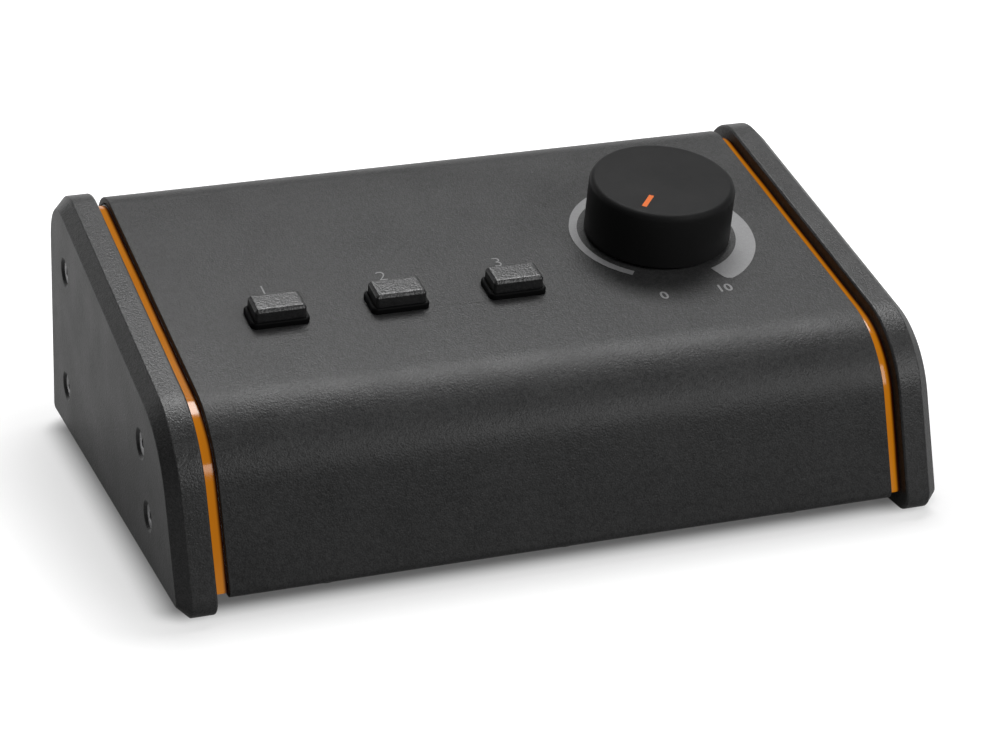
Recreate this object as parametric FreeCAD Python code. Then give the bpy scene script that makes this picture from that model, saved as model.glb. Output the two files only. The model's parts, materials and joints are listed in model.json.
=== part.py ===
import FreeCAD, Part
import math
import os

# A passive desktop monitor controller. Millimetres and degrees. While the pieces are made, x runs to
# the right, y runs back from the side plates' front foot and z runs up from the desk. At the end
# everything is moved so that the origin lies under the middle of the whole controller.

V = FreeCAD.Vector
upright = V(0, 0, 1)
rightward = V(1, 0, 0)
cutter_margin = 1.0          # how far a cutter runs past the piece it cuts
same_place = 1e-4            # two coordinates closer than this are one

# ---------------------------------------------------------------- case profile, seen from the side
overall_width = 180.0
foot_length = 129.3          # side plate along the desk, corner to corner
front_lean = 15.6            # front face, back from upright
front_height = 40.6          # corner between front and slope, above the plate's foot
slope_angle = 13.0           # sloping top, up from the desk
rear_lean = 9.1              # rear face, forward from upright
ground_gap = 1.0             # desk to the underside of the side plates
plate_bend_radius = 24.2
plate_crest_radius = 14.4
plate_foot_radius = 4.1

# ---------------------------------------------------------------- side plates and accent plates
side_plate_thickness = 8.6
side_plate_chamfer = 2.9
side_plate_edge_break = 0.4
accent_thickness = 3.0
accent_recess = 2.0          # accent edge below the shell's surface
accent_base_rise = 0.6       # accent underside above the shell's underside
accent_foot_radius = 0.8

# ---------------------------------------------------------------- shell
shell_thickness = 1.5
shell_front_inset = 1.4      # shell below the side plate's edge, on each face
shell_slope_inset = 1.1
shell_rear_inset = 1.4
shell_base_inset = 3.5
shell_fold_radius = 1.9      # outside of the folds at the foot
return_flange = 14.0         # width of the flanges folded in under the case

# ---------------------------------------------------------------- tray
tray_thickness = 1.5
tray_fold_radius = 2.5
tray_clearance = 0.3         # tray wall to the inside of the shell

# ---------------------------------------------------------------- M3 fasteners
thread_radius = 1.5
thread_clearance = 0.04      # thread in its nut, drawn plain
screw_hole_clearance = 0.2
screw_head_radius = 3.0
screw_head_sink = 0.6        # countersunk head below the plate's face
countersink_fit = 0.05
hex_socket_width = 2.0
hex_socket_depth = 1.3
clinch_nut_wall = 1.7
clinch_nut_height = 2.6
pan_head_radius = 2.8
pan_head_height = 1.65
pan_head_edge_radius = 1.2
screw_run_out = 0.5          # thread past the far side of its nut

rear_screw_inset = 17.8      # side screws from the plate's rear and front edges
front_screw_inset = 22.7
lower_screw_height = 14.5    # side screws above the plate's foot
front_upper_screw_height = 30.0
rear_upper_screw_height = 45.2
base_screw_end_inset = 23.0  # outer base screws from the shell's ends

# ---------------------------------------------------------------- feet
foot_radius = 6.0
foot_end_inset = 18.5        # foot axes from the shell's ends
foot_flange_gap = 5.0        # feet behind the return flanges
foot_edge_radius = 0.8

# ---------------------------------------------------------------- volume control
knob_right_inset = 33.6      # knob axis from the shell's right end
knob_slope_share = 0.5035    # knob axis from the corner of front and slope, share of the slope
knob_base_radius = 17.4
knob_top_radius = 17.3
knob_top_height = 14.6       # above the panel
knob_gap = 0.6               # knob above the panel
knob_foot_break = 0.35
knob_edge_radius = 1.6
knob_wall = 2.6
knob_top_wall = 2.3
knob_hub_wall = 2.4
knob_hub_height = 5.2        # depth of the hub below the top wall
knob_travel = 300.0          # turn, and the sweep of the tracks under the wipers
pointer_start_angle = -130.0 # pointer at the low end of its travel, from the +X direction
pointer_inner_reach = 8.2
pointer_outer_reach = 13.8
pointer_width = 1.2
pointer_depth = 0.5
pointer_rise = 0.04
inlay_fit = 0.02

insert_wall = 1.9
insert_fit = 0.03            # insert in the hub, shaft in the insert
shaft_radius = 3.0
shaft_running_clearance = 0.05
shaft_end_gap = 0.5          # shaft end below the knob's top wall
bushing_wall = 0.45           # at the thread's outside
bushing_rise = 5.2           # bushing above the panel
bushing_hole_fit = 0.1
pot_flange_height = 1.4
pot_nut_wall = 1.5
pot_nut_height = 2.4
pot_washer_width = 2.6
pot_washer_height = 0.7
pot_case_radius = 8.5
pot_case_wall = 1.0
pot_gang_count = 4
pot_gang_pitch = 5.6
pot_wafer_thickness = 0.9
pot_wafer_clearance = 1.4    # wafer to the spindle
pot_wiper_clearance = 1.3    # wiper disc to the can
pot_wiper_thickness = 0.8
pot_wiper_gap = 0.3          # wiper disc to the track wafer behind it
pot_cover_height = 1.2
pot_spindle_radius = 2.2     # thin end of the shaft inside the case
pot_pin_width = 1.2
pot_pin_thickness = 0.5
pot_pin_length = 3.2
pot_pins_per_side = 6
pot_pin_pitch = 2.0
pot_spindle_end_gap = 0.8    # spindle to the back cover

# ---------------------------------------------------------------- buttons
button_count = 3
button_left_inset = 25.0     # first button from the shell's left end
button_pitch = 28.2
button_slope_distance = 38.6
button_travel = 2.5
cap_stop_gap = 0.7           # pressed cap to the switch body
cap_width = 12.0
cap_length = 7.2
cap_top_height = 4.5         # above the panel
cap_skirt_depth = 1.6        # below the panel
cap_chamfer = 0.7
cap_corner_radius = 0.8
cap_bezel_clearance = 0.1
bezel_side_rim = 0.75
bezel_end_rim = 0.5
bezel_flange_height = 1.4
bezel_corner_radius = 1.4
bezel_edge_radius = 0.45
bezel_collar_wall = 0.3
bezel_collar_depth = 3.0
bezel_cutout_fit = 0.1

switch_width = 8.0
switch_wall = 0.9
switch_floor = 0.6
plunger_width = 3.2
plunger_clearance = 0.15
plunger_socket_fit = 0.05
plunger_piston_clearance = 0.4
plunger_piston_height = 1.0
plunger_piston_gap = 0.1
plunger_cap_reach = 3.0      # stem inside the cap
spring_radius = 2.0
spring_wire_radius = 0.2
spring_wire_sides = 8        # wire drawn eight-sided
spring_turns = 5.0
spring_seat_gap = 0.05

# ---------------------------------------------------------------- control board
board_thickness = 1.6
board_depth = 14.0           # board's upper face below the panel
board_end_inset = 8.0
board_front_distance = 17.0  # board's edges along the slope
board_rear_distance = 74.0
board_pot_clearance = 1.1
standoff_wall = 1.3
standoff_inset = 5.0         # standoff axes from the board's edges
board_screw_length = 6.0
resistor_radius = 1.2
resistor_length = 6.3
resistor_lead_radius = 0.3
resistor_lead_span = 10.0
resistor_hole_fit = 0.15
resistor_leg_run_out = 0.5   # legs past the board's underside
resistor_lift = 0.2
resistor_count = 8
resistor_pitch = 5.0
resistor_slope_distance = 62.0
resistor_left_inset = 17.0   # first resistor from the board's left edge

# ---------------------------------------------------------------- rear sockets
socket_end_gap = 5.4         # outer flanges from the shell's ends
socket_gap = 4.0             # between two flanges
socket_height = 23.0         # socket axes up the rear face from its lower corner
socket_flange_rim = 1.3      # flange past the body, at its sides
socket_flange_height = 31.0
socket_flange_thickness = 2.0
socket_flange_corner = 3.0
socket_flange_edge_break = 0.4
socket_wall = 2.1            # barrel round the cup
socket_hole_fit = 0.2
socket_screw_inset = 3.5     # screws from the flange's edges
socket_depth = 31.0          # panel face to the connector board
socket_cup_radius = 9.6
socket_cup_depth = 14.0      # below the flange's face
pin_radius = 1.2
pin_circle = 5.0
pin_angles = (145.0, 35.0, -90.0)
pin_set_back = 2.5           # pin tips below the flange's face
pin_tail = 1.4               # pins past the connector board
pin_tip_radius = 0.7
pin_fit = 0.03
core_fit = 0.03              # insert in its socket's shell
key_width = 2.4
key_depth = 1.0
input_gap = 2.0              # round the core of an input socket, in its cup
jack_bore_radius = 3.2
jack_bore_depth = 28.0
contact_wall = 0.2
contact_pin_clearance = 0.03 # contact to a plug's pin
contact_set_back = 2.0
contact_length = 10.0
connector_screw_length = 6.0

mini_jack_wall = 1.2
mini_jack_bore_radius = 1.8
mini_jack_bore_depth = 14.0
mini_jack_rise = 2.8         # barrel past the rear wall
mini_jack_nut_wall = 1.0
mini_jack_nut_height = 1.8
mini_jack_body_width = 9.0
mini_jack_body_height = 10.0
mini_jack_body_depth = 13.0
mini_jack_hole_fit = 0.1

rear_board_end_inset = 8.0
rear_board_floor_gap = 1.2   # board's lower edge above the tray
rear_board_height = 30.0

# ---------------------------------------------------------------- ribbon link
header_width = 18.0
header_depth = 5.0
header_height = 6.0
control_header_share = 0.4451    # header on the control board, share of the slope
rear_header_height = 29.0        # header on the rear board, up the rear face
ribbon_width = 15.0
ribbon_thickness = 0.9
ribbon_bend_radius = 4.0

# ---------------------------------------------------------------- sizes that follow
shell_half_width = overall_width / 2 - side_plate_thickness - accent_thickness
shell_foot_z = ground_gap + shell_base_inset
flange_top_z = shell_foot_z + shell_thickness
tray_top_z = flange_top_z + tray_thickness
base_screw_inset = return_flange / 2
foot_edge_inset = return_flange + foot_flange_gap + foot_radius
nut_bore_radius = thread_radius + thread_clearance
screw_hole_radius = thread_radius + screw_hole_clearance
clinch_nut_radius = nut_bore_radius + clinch_nut_wall
standoff_radius = nut_bore_radius + standoff_wall

panel_inside = -shell_thickness
board_top = -board_depth
board_under = board_top - board_thickness
knob_x = shell_half_width - knob_right_inset
knob_ceiling = knob_top_height - knob_top_wall
hub_foot = knob_ceiling - knob_hub_height
insert_radius = shaft_radius + insert_fit + insert_wall
insert_seat_radius = insert_radius + insert_fit
knob_hub_radius = insert_seat_radius + knob_hub_wall
bushing_bore_radius = shaft_radius + shaft_running_clearance
bushing_radius = bushing_bore_radius + bushing_wall
pot_nut_width = 2 * (bushing_radius + pot_nut_wall)
pot_washer_bore_radius = bushing_radius + bushing_hole_fit
pot_can_bore_radius = pot_case_radius - pot_case_wall
pot_front = panel_inside - pot_flange_height
pot_back = pot_front - pot_gang_count * pot_gang_pitch

button_x = [button_pitch * i + button_left_inset - shell_half_width for i in range(button_count)]
bezel_hole_width = cap_width + 2 * cap_bezel_clearance
bezel_hole_length = cap_length + 2 * cap_bezel_clearance
switch_top = -cap_skirt_depth - button_travel - cap_stop_gap
switch_ceiling = switch_top - switch_wall
switch_floor_top = board_top + switch_floor
switch_room = switch_width / 2 - switch_wall
piston_top = switch_ceiling - plunger_piston_gap
piston_foot = piston_top - plunger_piston_height
cap_socket_top = plunger_cap_reach - cap_skirt_depth

socket_body_radius = socket_cup_radius + socket_wall
socket_flange_width = 2 * (socket_body_radius + socket_flange_rim)
socket_pitch = socket_flange_width + socket_gap
socket_screw_x = socket_flange_width / 2 - socket_screw_inset
socket_screw_y = socket_flange_height / 2 - socket_screw_inset
outer_socket_x = shell_half_width - socket_end_gap - socket_flange_width / 2
output_x = [-outer_socket_x, socket_pitch - outer_socket_x]
input_x = [outer_socket_x - socket_pitch, outer_socket_x]
socket_x = output_x + input_x
cup_floor = socket_flange_thickness - socket_cup_depth
input_core_radius = socket_cup_radius - input_gap
contact_radius = pin_radius + contact_pin_clearance + contact_wall
mini_jack_radius = mini_jack_bore_radius + mini_jack_wall
mini_jack_thread_hole = mini_jack_radius + thread_clearance


# ---------------------------------------------------------------- plain shapes, made in place

def box(x0, x1, y0, y1, z0, z1):
    return Part.makeBox(x1 - x0, y1 - y0, z1 - z0, V(x0, y0, z0))


def disc(radius, z0, z1, x=0.0, y=0.0):
    return Part.makeCylinder(radius, z1 - z0, V(x, y, z0))


def tube(outer, inner, z0, z1, x=0.0, y=0.0):
    return disc(outer, z0, z1, x, y).cut(disc(inner, z0, z1, x, y))


def hexagon(across_flats, z0, z1):
    corner = across_flats / 2 / math.cos(math.radians(30))
    points = [V(corner * math.cos(math.radians(60 * i)), corner * math.sin(math.radians(60 * i)), z0)
              for i in range(7)]
    return Part.Face(Part.makePolygon(points)).extrude(V(0, 0, z1 - z0))


def rounded_block(width, length, corner, z0, z1):
    """A block centred on the z axis, with its upright edges rounded."""
    block = box(-width / 2, width / 2, -length / 2, length / 2, z0, z1)
    return block.makeFillet(corner, [edge for edge in block.Edges if edge.BoundBox.ZLength > same_place])


def edges_at(shape, z):
    """The edges of a shape that lie wholly at one height."""
    return [edge for edge in shape.Edges
            if abs(edge.BoundBox.ZMin - z) < same_place and abs(edge.BoundBox.ZMax - z) < same_place]


def revolved(points):
    """A solid of revolution about z, from a closed outline of (radius, height) points.

    A point may be a pair of pairs, (middle, end), for an arc through middle to end."""
    start = V(points[0][0], 0, points[0][1])
    edges = []
    for point in points[1:] + points[:1]:
        if isinstance(point[0], tuple):
            middle, end = (V(r, 0, z) for r, z in point)
            edges.append(Part.Arc(start, middle, end).toShape())
        else:
            end = V(point[0], 0, point[1])
            edges.append(Part.LineSegment(start, end).toShape())
        start = end
    return Part.Face(Part.Wire(edges)).revolve(V(0, 0, 0), upright, 360)


def group(shapes):
    return Part.makeCompound(shapes)


# ---------------------------------------------------------------- the case profile

def profile_lines():
    """The four edges of the side plate as (direction angle, point), clockwise from the front."""
    bend = V(0, front_height * math.tan(math.radians(front_lean)), ground_gap + front_height)
    heel = V(0, foot_length, ground_gap)
    return [(90 - front_lean, bend), (slope_angle, bend), (rear_lean - 90, heel), (180, heel)]


def outward(angle):
    """The outward normal of a profile edge that runs at this angle."""
    return V(0, -math.sin(math.radians(angle)), math.cos(math.radians(angle)))


def profile_corners(insets):
    """Corners of the profile moved in by (front, slope, rear, base): foot, bend, crest, heel."""
    lines = []
    for (angle, point), inset in zip(profile_lines(), insets):
        normal = outward(angle)
        lines.append((normal, normal.dot(point) - inset))
    corners = []
    for i in range(4):
        (a, a_reach), (b, b_reach) = lines[i - 1], lines[i]
        det = a.y * b.z - a.z * b.y
        corners.append(V(0, (a_reach * b.z - b_reach * a.z) / det, (a.y * b_reach - b.y * a_reach) / det))
    return corners


def rounded_loop(corners, radii):
    """A closed wire through the corners, each rounded by its own radius."""
    arcs = []
    for i, (corner, radius) in enumerate(zip(corners, radii)):
        before = (corners[i - 1] - corner).normalize()
        after = (corners[(i + 1) % len(corners)] - corner).normalize()
        half_angle = before.getAngle(after) / 2
        middle = (before + after).normalize()
        centre = corner + middle * (radius / math.sin(half_angle))
        reach = radius / math.tan(half_angle)
        arcs.append((corner + before * reach, centre - middle * radius, corner + after * reach))
    edges = []
    for i, (start, middle, end) in enumerate(arcs):
        edges.append(Part.Arc(start, middle, end).toShape())
        edges.append(Part.LineSegment(end, arcs[(i + 1) % len(arcs)][0]).toShape())
    return Part.Wire(edges)


def profile_slab(insets, corner_radius, x0, x1):
    """A slab of the case profile from x0 to x1, moved in by (front, slope, rear, base) insets.

    Bend and crest stay concentric with the side plate's; foot and heel take the corner radius."""
    slope_inset = insets[1]
    radii = [corner_radius, plate_bend_radius - slope_inset, plate_crest_radius - slope_inset,
             corner_radius]
    face = Part.Face(rounded_loop(profile_corners(insets), radii))
    face.translate(V(x0, 0, 0))
    return face.extrude(V(x1 - x0, 0, 0))


def deeper(insets, step):
    return tuple(inset + step for inset in insets)


shell_insets = (shell_front_inset, shell_slope_inset, shell_rear_inset, shell_base_inset)
shell_corners = profile_corners(shell_insets)
slope_length = (shell_corners[2] - shell_corners[1]).Length
knob_slope_distance = knob_slope_share * slope_length
control_header_distance = control_header_share * slope_length


def face_frame(origin, x_direction, z_direction):
    """A placement whose local z points out of a face."""
    turn = FreeCAD.Rotation(x_direction, z_direction.cross(x_direction), z_direction, "ZXY")
    return FreeCAD.Placement(origin, turn)


def panel_frame(x=0.0, along=0.0):
    """On the slope's outer face, local y up the slope, at a distance from its front corner."""
    foot, bend, crest, heel = shell_corners
    uphill = (crest - bend).normalize()
    return face_frame(bend + uphill * along + V(x, 0, 0), rightward, rightward.cross(uphill))


def rear_frame(x=0.0, up=0.0):
    """On the rear wall's outer face, local y up the wall, at a distance from its lower corner."""
    foot, bend, crest, heel = shell_corners
    upward = (crest - heel).normalize()
    return face_frame(heel + upward * up + V(x, 0, 0), -rightward, upward.cross(rightward))


def side_frame(side, y, z):
    """On a side plate's outer face, local z pointing outwards."""
    return face_frame(V(side * overall_width / 2, y, z), V(0, side, 0), V(side, 0, 0))


def within(frame, x, y, z):
    """The same frame with its origin moved to a point given in that frame."""
    return frame.multiply(FreeCAD.Placement(V(x, y, z), FreeCAD.Rotation()))


def placed(shape, placement):
    moved = shape.copy()
    moved.Placement = placement.multiply(moved.Placement)
    return moved


def side_screw_points():
    """Where the side screws cross the profile, as (y, z): two along the rear face, two along the front."""
    front, rear = profile_lines()[0::2]
    rows = ((rear, rear_screw_inset, rear_upper_screw_height),
            (front, front_screw_inset, front_upper_screw_height))
    points = []
    for (angle, start), inset, upper_height in rows:
        normal = outward(angle)
        for height in (upper_height, lower_screw_height):
            z = ground_gap + height
            points.append(((normal.dot(start) - inset - normal.z * z) / normal.y, z))
    return points


# ---------------------------------------------------------------- fasteners, local z out of the head

def countersunk_screw(length):
    """A socket screw with its head's face sunk below z = 0."""
    top = -screw_head_sink
    cone_height = screw_head_radius - thread_radius
    head = Part.makeCone(thread_radius, screw_head_radius - countersink_fit, cone_height,
                         V(0, 0, top - cone_height))
    shank = disc(thread_radius, top - length, top - cone_height)
    socket = hexagon(hex_socket_width, top - hex_socket_depth, top)
    return head.fuse(shank).removeSplitter().cut(socket)


def pan_screw(length):
    """A socket screw whose head stands on z = 0."""
    head = disc(pan_head_radius, 0, pan_head_height)
    head = head.makeFillet(pan_head_edge_radius, edges_at(head, pan_head_height))
    socket = hexagon(hex_socket_width, pan_head_height - hex_socket_depth, pan_head_height)
    return head.fuse(disc(thread_radius, -length, 0)).removeSplitter().cut(socket)


def clinch_nut():
    """A nut pressed in from the inside; it stands on z = 0 and reaches down."""
    return tube(clinch_nut_radius, nut_bore_radius, -clinch_nut_height, 0)


# ---------------------------------------------------------------- case

def side_plate(side):
    """A thick plate, chamfered all round its outer face and drilled for four screws."""
    inner = side * (overall_width / 2 - side_plate_thickness)
    outer = side * overall_width / 2
    plate = profile_slab((0, 0, 0, 0), plate_foot_radius, min(inner, outer), max(inner, outer))
    for x, size in ((outer, side_plate_chamfer), (inner, side_plate_edge_break)):
        rim = [edge for edge in plate.Edges
               if abs(edge.BoundBox.XMin - x) < same_place and abs(edge.BoundBox.XMax - x) < same_place]
        plate = plate.makeChamfer(size, rim)
    mouth = screw_head_radius + screw_head_sink
    depth = mouth - screw_hole_radius
    for y, z in side_screw_points():
        hole = disc(screw_hole_radius, -side_plate_thickness, 0)
        sink = Part.makeCone(screw_hole_radius, mouth, depth, V(0, 0, -depth))
        plate = plate.cut(placed(hole.fuse(sink), side_frame(side, y, z)))
    return plate


def accent_plate(side):
    """The amber plate between a shell end and a side plate, its edge set back all round."""
    near = side * shell_half_width
    far = near + side * accent_thickness
    insets = deeper(shell_insets, accent_recess)[:3] + (shell_base_inset + accent_base_rise,)
    plate = profile_slab(insets, accent_foot_radius, min(near, far), max(near, far))
    for y, z in side_screw_points():
        hole = disc(screw_hole_radius, -side_plate_thickness - accent_thickness, 0)
        plate = plate.cut(placed(hole, side_frame(side, y, z)))
    return plate


def top_shell():
    """One folded sheet: front, slope and rear wall, with a return flange under front and rear."""
    inner_insets = deeper(shell_insets, shell_thickness)
    outer = profile_slab(shell_insets, shell_fold_radius, -shell_half_width, shell_half_width)
    inner = profile_slab(inner_insets, shell_fold_radius - shell_thickness,
                         -shell_half_width, shell_half_width)
    foot, bend, crest, heel = shell_corners
    opening = box(-shell_half_width, shell_half_width, foot.y + return_flange, heel.y - return_flange,
                  0, tray_top_z)
    shell = outer.cut(inner).cut(opening)
    rim = 2 * (bezel_collar_wall + bezel_cutout_fit)
    for x in button_x:
        cutout = rounded_block(bezel_hole_width + rim, bezel_hole_length + rim, cap_corner_radius,
                               -2 * shell_thickness, cutter_margin)
        shell = shell.cut(placed(cutout, panel_frame(x, button_slope_distance)))
    bushing_hole = disc(pot_washer_bore_radius, -2 * shell_thickness, cutter_margin)
    shell = shell.cut(placed(bushing_hole, panel_frame(knob_x, knob_slope_distance)))
    for x in socket_x:
        shell = shell.cut(placed(socket_cutter(), rear_frame(x, socket_height)))
    jack_hole = disc(mini_jack_radius + mini_jack_hole_fit, -2 * shell_thickness, cutter_margin)
    shell = shell.cut(placed(jack_hole, rear_frame(0, socket_height)))
    for x, y in base_screw_points():
        shell = shell.cut(disc(screw_hole_radius, 0, tray_top_z, x, y))
    return shell


def socket_cutter():
    """What a rear socket needs cut from the rear wall: its body and two tapped holes."""
    cutter = disc(socket_body_radius + socket_hole_fit, -2 * shell_thickness, cutter_margin)
    for sign in (-1, 1):
        cutter = cutter.fuse(disc(nut_bore_radius, -2 * shell_thickness, cutter_margin,
                                  sign * socket_screw_x, -sign * socket_screw_y))
    return cutter


def base_screw_points():
    foot, bend, crest, heel = shell_corners
    reach = shell_half_width - base_screw_end_inset
    return [(x, y) for y in (foot.y + base_screw_inset, heel.y - base_screw_inset)
            for x in (-reach, 0, reach)]


def folds_at(block, z):
    """The two lower edges of a block that run from front to rear."""
    return [edge for edge in edges_at(block, z) if edge.BoundBox.YLength > same_place]


def chassis_tray():
    """A folded channel on the shell's return flanges, its upright ends behind the accent plates."""
    inside = deeper(shell_insets, shell_thickness + tray_clearance)[:3] + (flange_top_z - ground_gap,)
    blank = profile_slab(inside, tray_clearance, -shell_half_width, shell_half_width)
    foot, bend, crest, heel = shell_corners
    room = box(-shell_half_width + tray_thickness, shell_half_width - tray_thickness,
               foot.y, heel.y, tray_top_z, crest.z)
    room = room.makeFillet(tray_fold_radius - tray_thickness, folds_at(room, tray_top_z))
    cradle = box(-shell_half_width, shell_half_width, foot.y, heel.y, flange_top_z, crest.z)
    cradle = cradle.makeFillet(tray_fold_radius, folds_at(cradle, flange_top_z))
    tray = blank.common(cradle).cut(room)
    reach = side_plate_thickness + accent_thickness + 2 * tray_thickness
    for side in (-1, 1):
        for y, z in side_screw_points():
            tray = tray.cut(placed(disc(screw_hole_radius, -reach, 0), side_frame(side, y, z)))
    for x, y in base_screw_points():
        tray = tray.cut(disc(screw_hole_radius, 0, tray_top_z + cutter_margin, x, y))
    return tray


def side_fasteners():
    """Side screws, left and right, and the nuts in the tray's ends that they run into."""
    wall = side_plate_thickness + accent_thickness + tray_thickness
    length = wall + clinch_nut_height + screw_run_out - screw_head_sink
    screws = {-1: [], 1: []}
    nuts = []
    for side in (-1, 1):
        for y, z in side_screw_points():
            place = side_frame(side, y, z)
            screws[side].append(placed(countersunk_screw(length), place))
            nuts.append(placed(clinch_nut(), within(place, 0, 0, -wall)))
    return group(screws[-1]), group(screws[1]), group(nuts)


def base_fasteners():
    """Pan-head screws up through the flanges, and the nuts on the tray floor."""
    length = tray_top_z - shell_foot_z + clinch_nut_height + screw_run_out
    screws, nuts = [], []
    for x, y in base_screw_points():
        screws.append(placed(pan_screw(length), face_frame(V(x, y, shell_foot_z), rightward, -upright)))
        nuts.append(placed(clinch_nut(), face_frame(V(x, y, tray_top_z), rightward, -upright)))
    return group(screws), group(nuts)


def rubber_feet():
    """Four feet stuck to the tray floor, between the flanges."""
    foot, bend, crest, heel = shell_corners
    reach = shell_half_width - foot_end_inset
    feet = []
    for y in (foot.y + foot_edge_inset, heel.y - foot_edge_inset):
        for x in (-reach, reach):
            pad = disc(foot_radius, 0, flange_top_z, x, y)
            feet.append(pad.makeFillet(foot_edge_radius, edges_at(pad, 0)))
    return group(feet)


# ---------------------------------------------------------------- volume control, local z off the panel

def pointer_block(grow, top):
    """The pointer's slot or inlay: a bar with round ends along the knob's radius."""
    half = pointer_width / 2 + grow
    inner = pointer_inner_reach + pointer_width / 2
    outer = pointer_outer_reach - pointer_width / 2
    floor = knob_top_height - pointer_depth - grow
    bar = box(inner, outer, -half, half, floor, top)
    for reach in (inner, outer):
        bar = bar.fuse(disc(half, floor, top, reach))
    bar = bar.removeSplitter()
    bar.rotate(V(0, 0, 0), upright, pointer_start_angle)
    return bar


def volume_knob():
    """A hollow, slightly conical knob with a hub for its insert and a slot for the pointer."""
    round_off = knob_edge_radius * (1 - math.sqrt(0.5))
    outline = [
        (knob_base_radius - knob_wall, knob_gap),
        (knob_base_radius - knob_foot_break, knob_gap),
        (knob_base_radius, knob_gap + knob_foot_break),
        (knob_top_radius, knob_top_height - knob_edge_radius),
        ((knob_top_radius - round_off, knob_top_height - round_off),
         (knob_top_radius - knob_edge_radius, knob_top_height)),
        (0, knob_top_height),
        (0, knob_ceiling),
        (insert_seat_radius, knob_ceiling),
        (insert_seat_radius, hub_foot),
        (knob_hub_radius, hub_foot),
        (knob_hub_radius, knob_ceiling),
        (knob_top_radius - knob_wall, knob_ceiling),
    ]
    return revolved(outline).cut(pointer_block(inlay_fit, knob_top_height + cutter_margin))


def knob_insert():
    return tube(insert_radius, shaft_radius + insert_fit, hub_foot, knob_ceiling)


def pot_bushing():
    """The threaded bushing, drawn plain, on its flange under the panel."""
    flange = disc(pot_case_radius, pot_front, panel_inside)
    body = disc(bushing_radius, panel_inside, bushing_rise).fuse(flange).removeSplitter()
    return body.cut(disc(bushing_bore_radius, pot_front, bushing_rise))


def pot_shaft():
    """The shaft: full size through the bushing, thinner through the gangs."""
    spindle = disc(pot_spindle_radius, pot_back + pot_spindle_end_gap, pot_front)
    return disc(shaft_radius, pot_front, knob_ceiling - shaft_end_gap).fuse(spindle).removeSplitter()


def pot_case():
    """The can round the four gangs."""
    return tube(pot_case_radius, pot_can_bore_radius, pot_back, pot_front)


def pot_gang_depths():
    """Where the track wafers' faces lie, in the middle of each gang."""
    return [pot_front - pot_gang_pitch * (i + 0.5) for i in range(pot_gang_count)]


def pot_tracks():
    """A horseshoe wafer in each gang, fixed in the can, as long as the pointer's sweep."""
    wafers = []
    for z in pot_gang_depths():
        base = V(0, 0, z - pot_wafer_thickness)
        wafer = Part.makeCylinder(pot_can_bore_radius, pot_wafer_thickness, base, upright, knob_travel)
        wafer.rotate(base, upright, pointer_start_angle - knob_travel)
        bore = disc(pot_spindle_radius + pot_wafer_clearance, z - pot_wafer_thickness, z)
        wafers.append(wafer.cut(bore))
    return group(wafers)


def pot_wipers():
    """A wiper disc in front of each wafer, on the spindle."""
    radius = pot_can_bore_radius - pot_wiper_clearance
    return group([tube(radius, pot_spindle_radius, z + pot_wiper_gap,
                       z + pot_wiper_gap + pot_wiper_thickness) for z in pot_gang_depths()])


def pot_back_cover():
    return disc(pot_case_radius, pot_back - pot_cover_height, pot_back)


def pot_pins():
    """Flat pins from both sides of the can, lying on the control board."""
    pins = []
    for side in (-1, 1):
        for i in range(pot_pins_per_side):
            y = (i - (pot_pins_per_side - 1) / 2) * pot_pin_pitch
            near_edge = abs(y) - pot_pin_width / 2
            start = math.sqrt(pot_case_radius ** 2 - near_edge ** 2)
            ends = sorted((side * start, side * (pot_case_radius + pot_pin_length)))
            pins.append(box(ends[0], ends[1], y - pot_pin_width / 2, y + pot_pin_width / 2,
                            board_top, board_top + pot_pin_thickness))
    return group(pins)


def pot_washer():
    return tube(bushing_radius + pot_washer_width, pot_washer_bore_radius, 0, pot_washer_height)


def pot_nut():
    top = pot_washer_height + pot_nut_height
    bore = disc(bushing_radius + thread_clearance, pot_washer_height, top)
    return hexagon(pot_nut_width, pot_washer_height, top).cut(bore)


# ---------------------------------------------------------------- buttons, local z off the panel

def button_cap():
    """A rectangular key with a chamfered top and a socket for the switch's stem."""
    cap = rounded_block(cap_width, cap_length, cap_corner_radius, -cap_skirt_depth, cap_top_height)
    cap = cap.makeChamfer(cap_chamfer, edges_at(cap, cap_top_height))
    half = plunger_width / 2 + plunger_socket_fit
    return cap.cut(box(-half, half, -half, half, -cap_skirt_depth, cap_socket_top))


def button_bezel():
    """A flange on the panel with a collar down through the cut-out."""
    flange = rounded_block(bezel_hole_width + 2 * bezel_side_rim, bezel_hole_length + 2 * bezel_end_rim,
                           bezel_corner_radius, 0, bezel_flange_height)
    flange = flange.makeFillet(bezel_edge_radius, edges_at(flange, bezel_flange_height))
    collar = rounded_block(bezel_hole_width + 2 * bezel_collar_wall,
                           bezel_hole_length + 2 * bezel_collar_wall,
                           cap_corner_radius, -bezel_collar_depth, 0)
    hole = rounded_block(bezel_hole_width, bezel_hole_length, cap_corner_radius,
                         -bezel_collar_depth, bezel_flange_height)
    return flange.fuse(collar).removeSplitter().cut(hole)


def switch_body():
    """The switch housing on the board: a box round the spring and the plunger's piston."""
    half = switch_width / 2
    stem = plunger_width / 2 + plunger_clearance
    body = box(-half, half, -half, half, board_top, switch_top)
    hollow = box(-switch_room, switch_room, -switch_room, switch_room, switch_floor_top, switch_ceiling)
    return body.cut(hollow).cut(box(-stem, stem, -stem, stem, switch_ceiling, switch_top))


def switch_plunger():
    """The stem that the cap sits on, with a piston inside the housing."""
    half = plunger_width / 2
    reach = switch_room - plunger_piston_clearance
    piston = box(-reach, reach, -reach, reach, piston_foot, piston_top)
    stem = box(-half, half, -half, half, piston_top, cap_socket_top - plunger_socket_fit)
    return piston.fuse(stem).removeSplitter()


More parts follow.
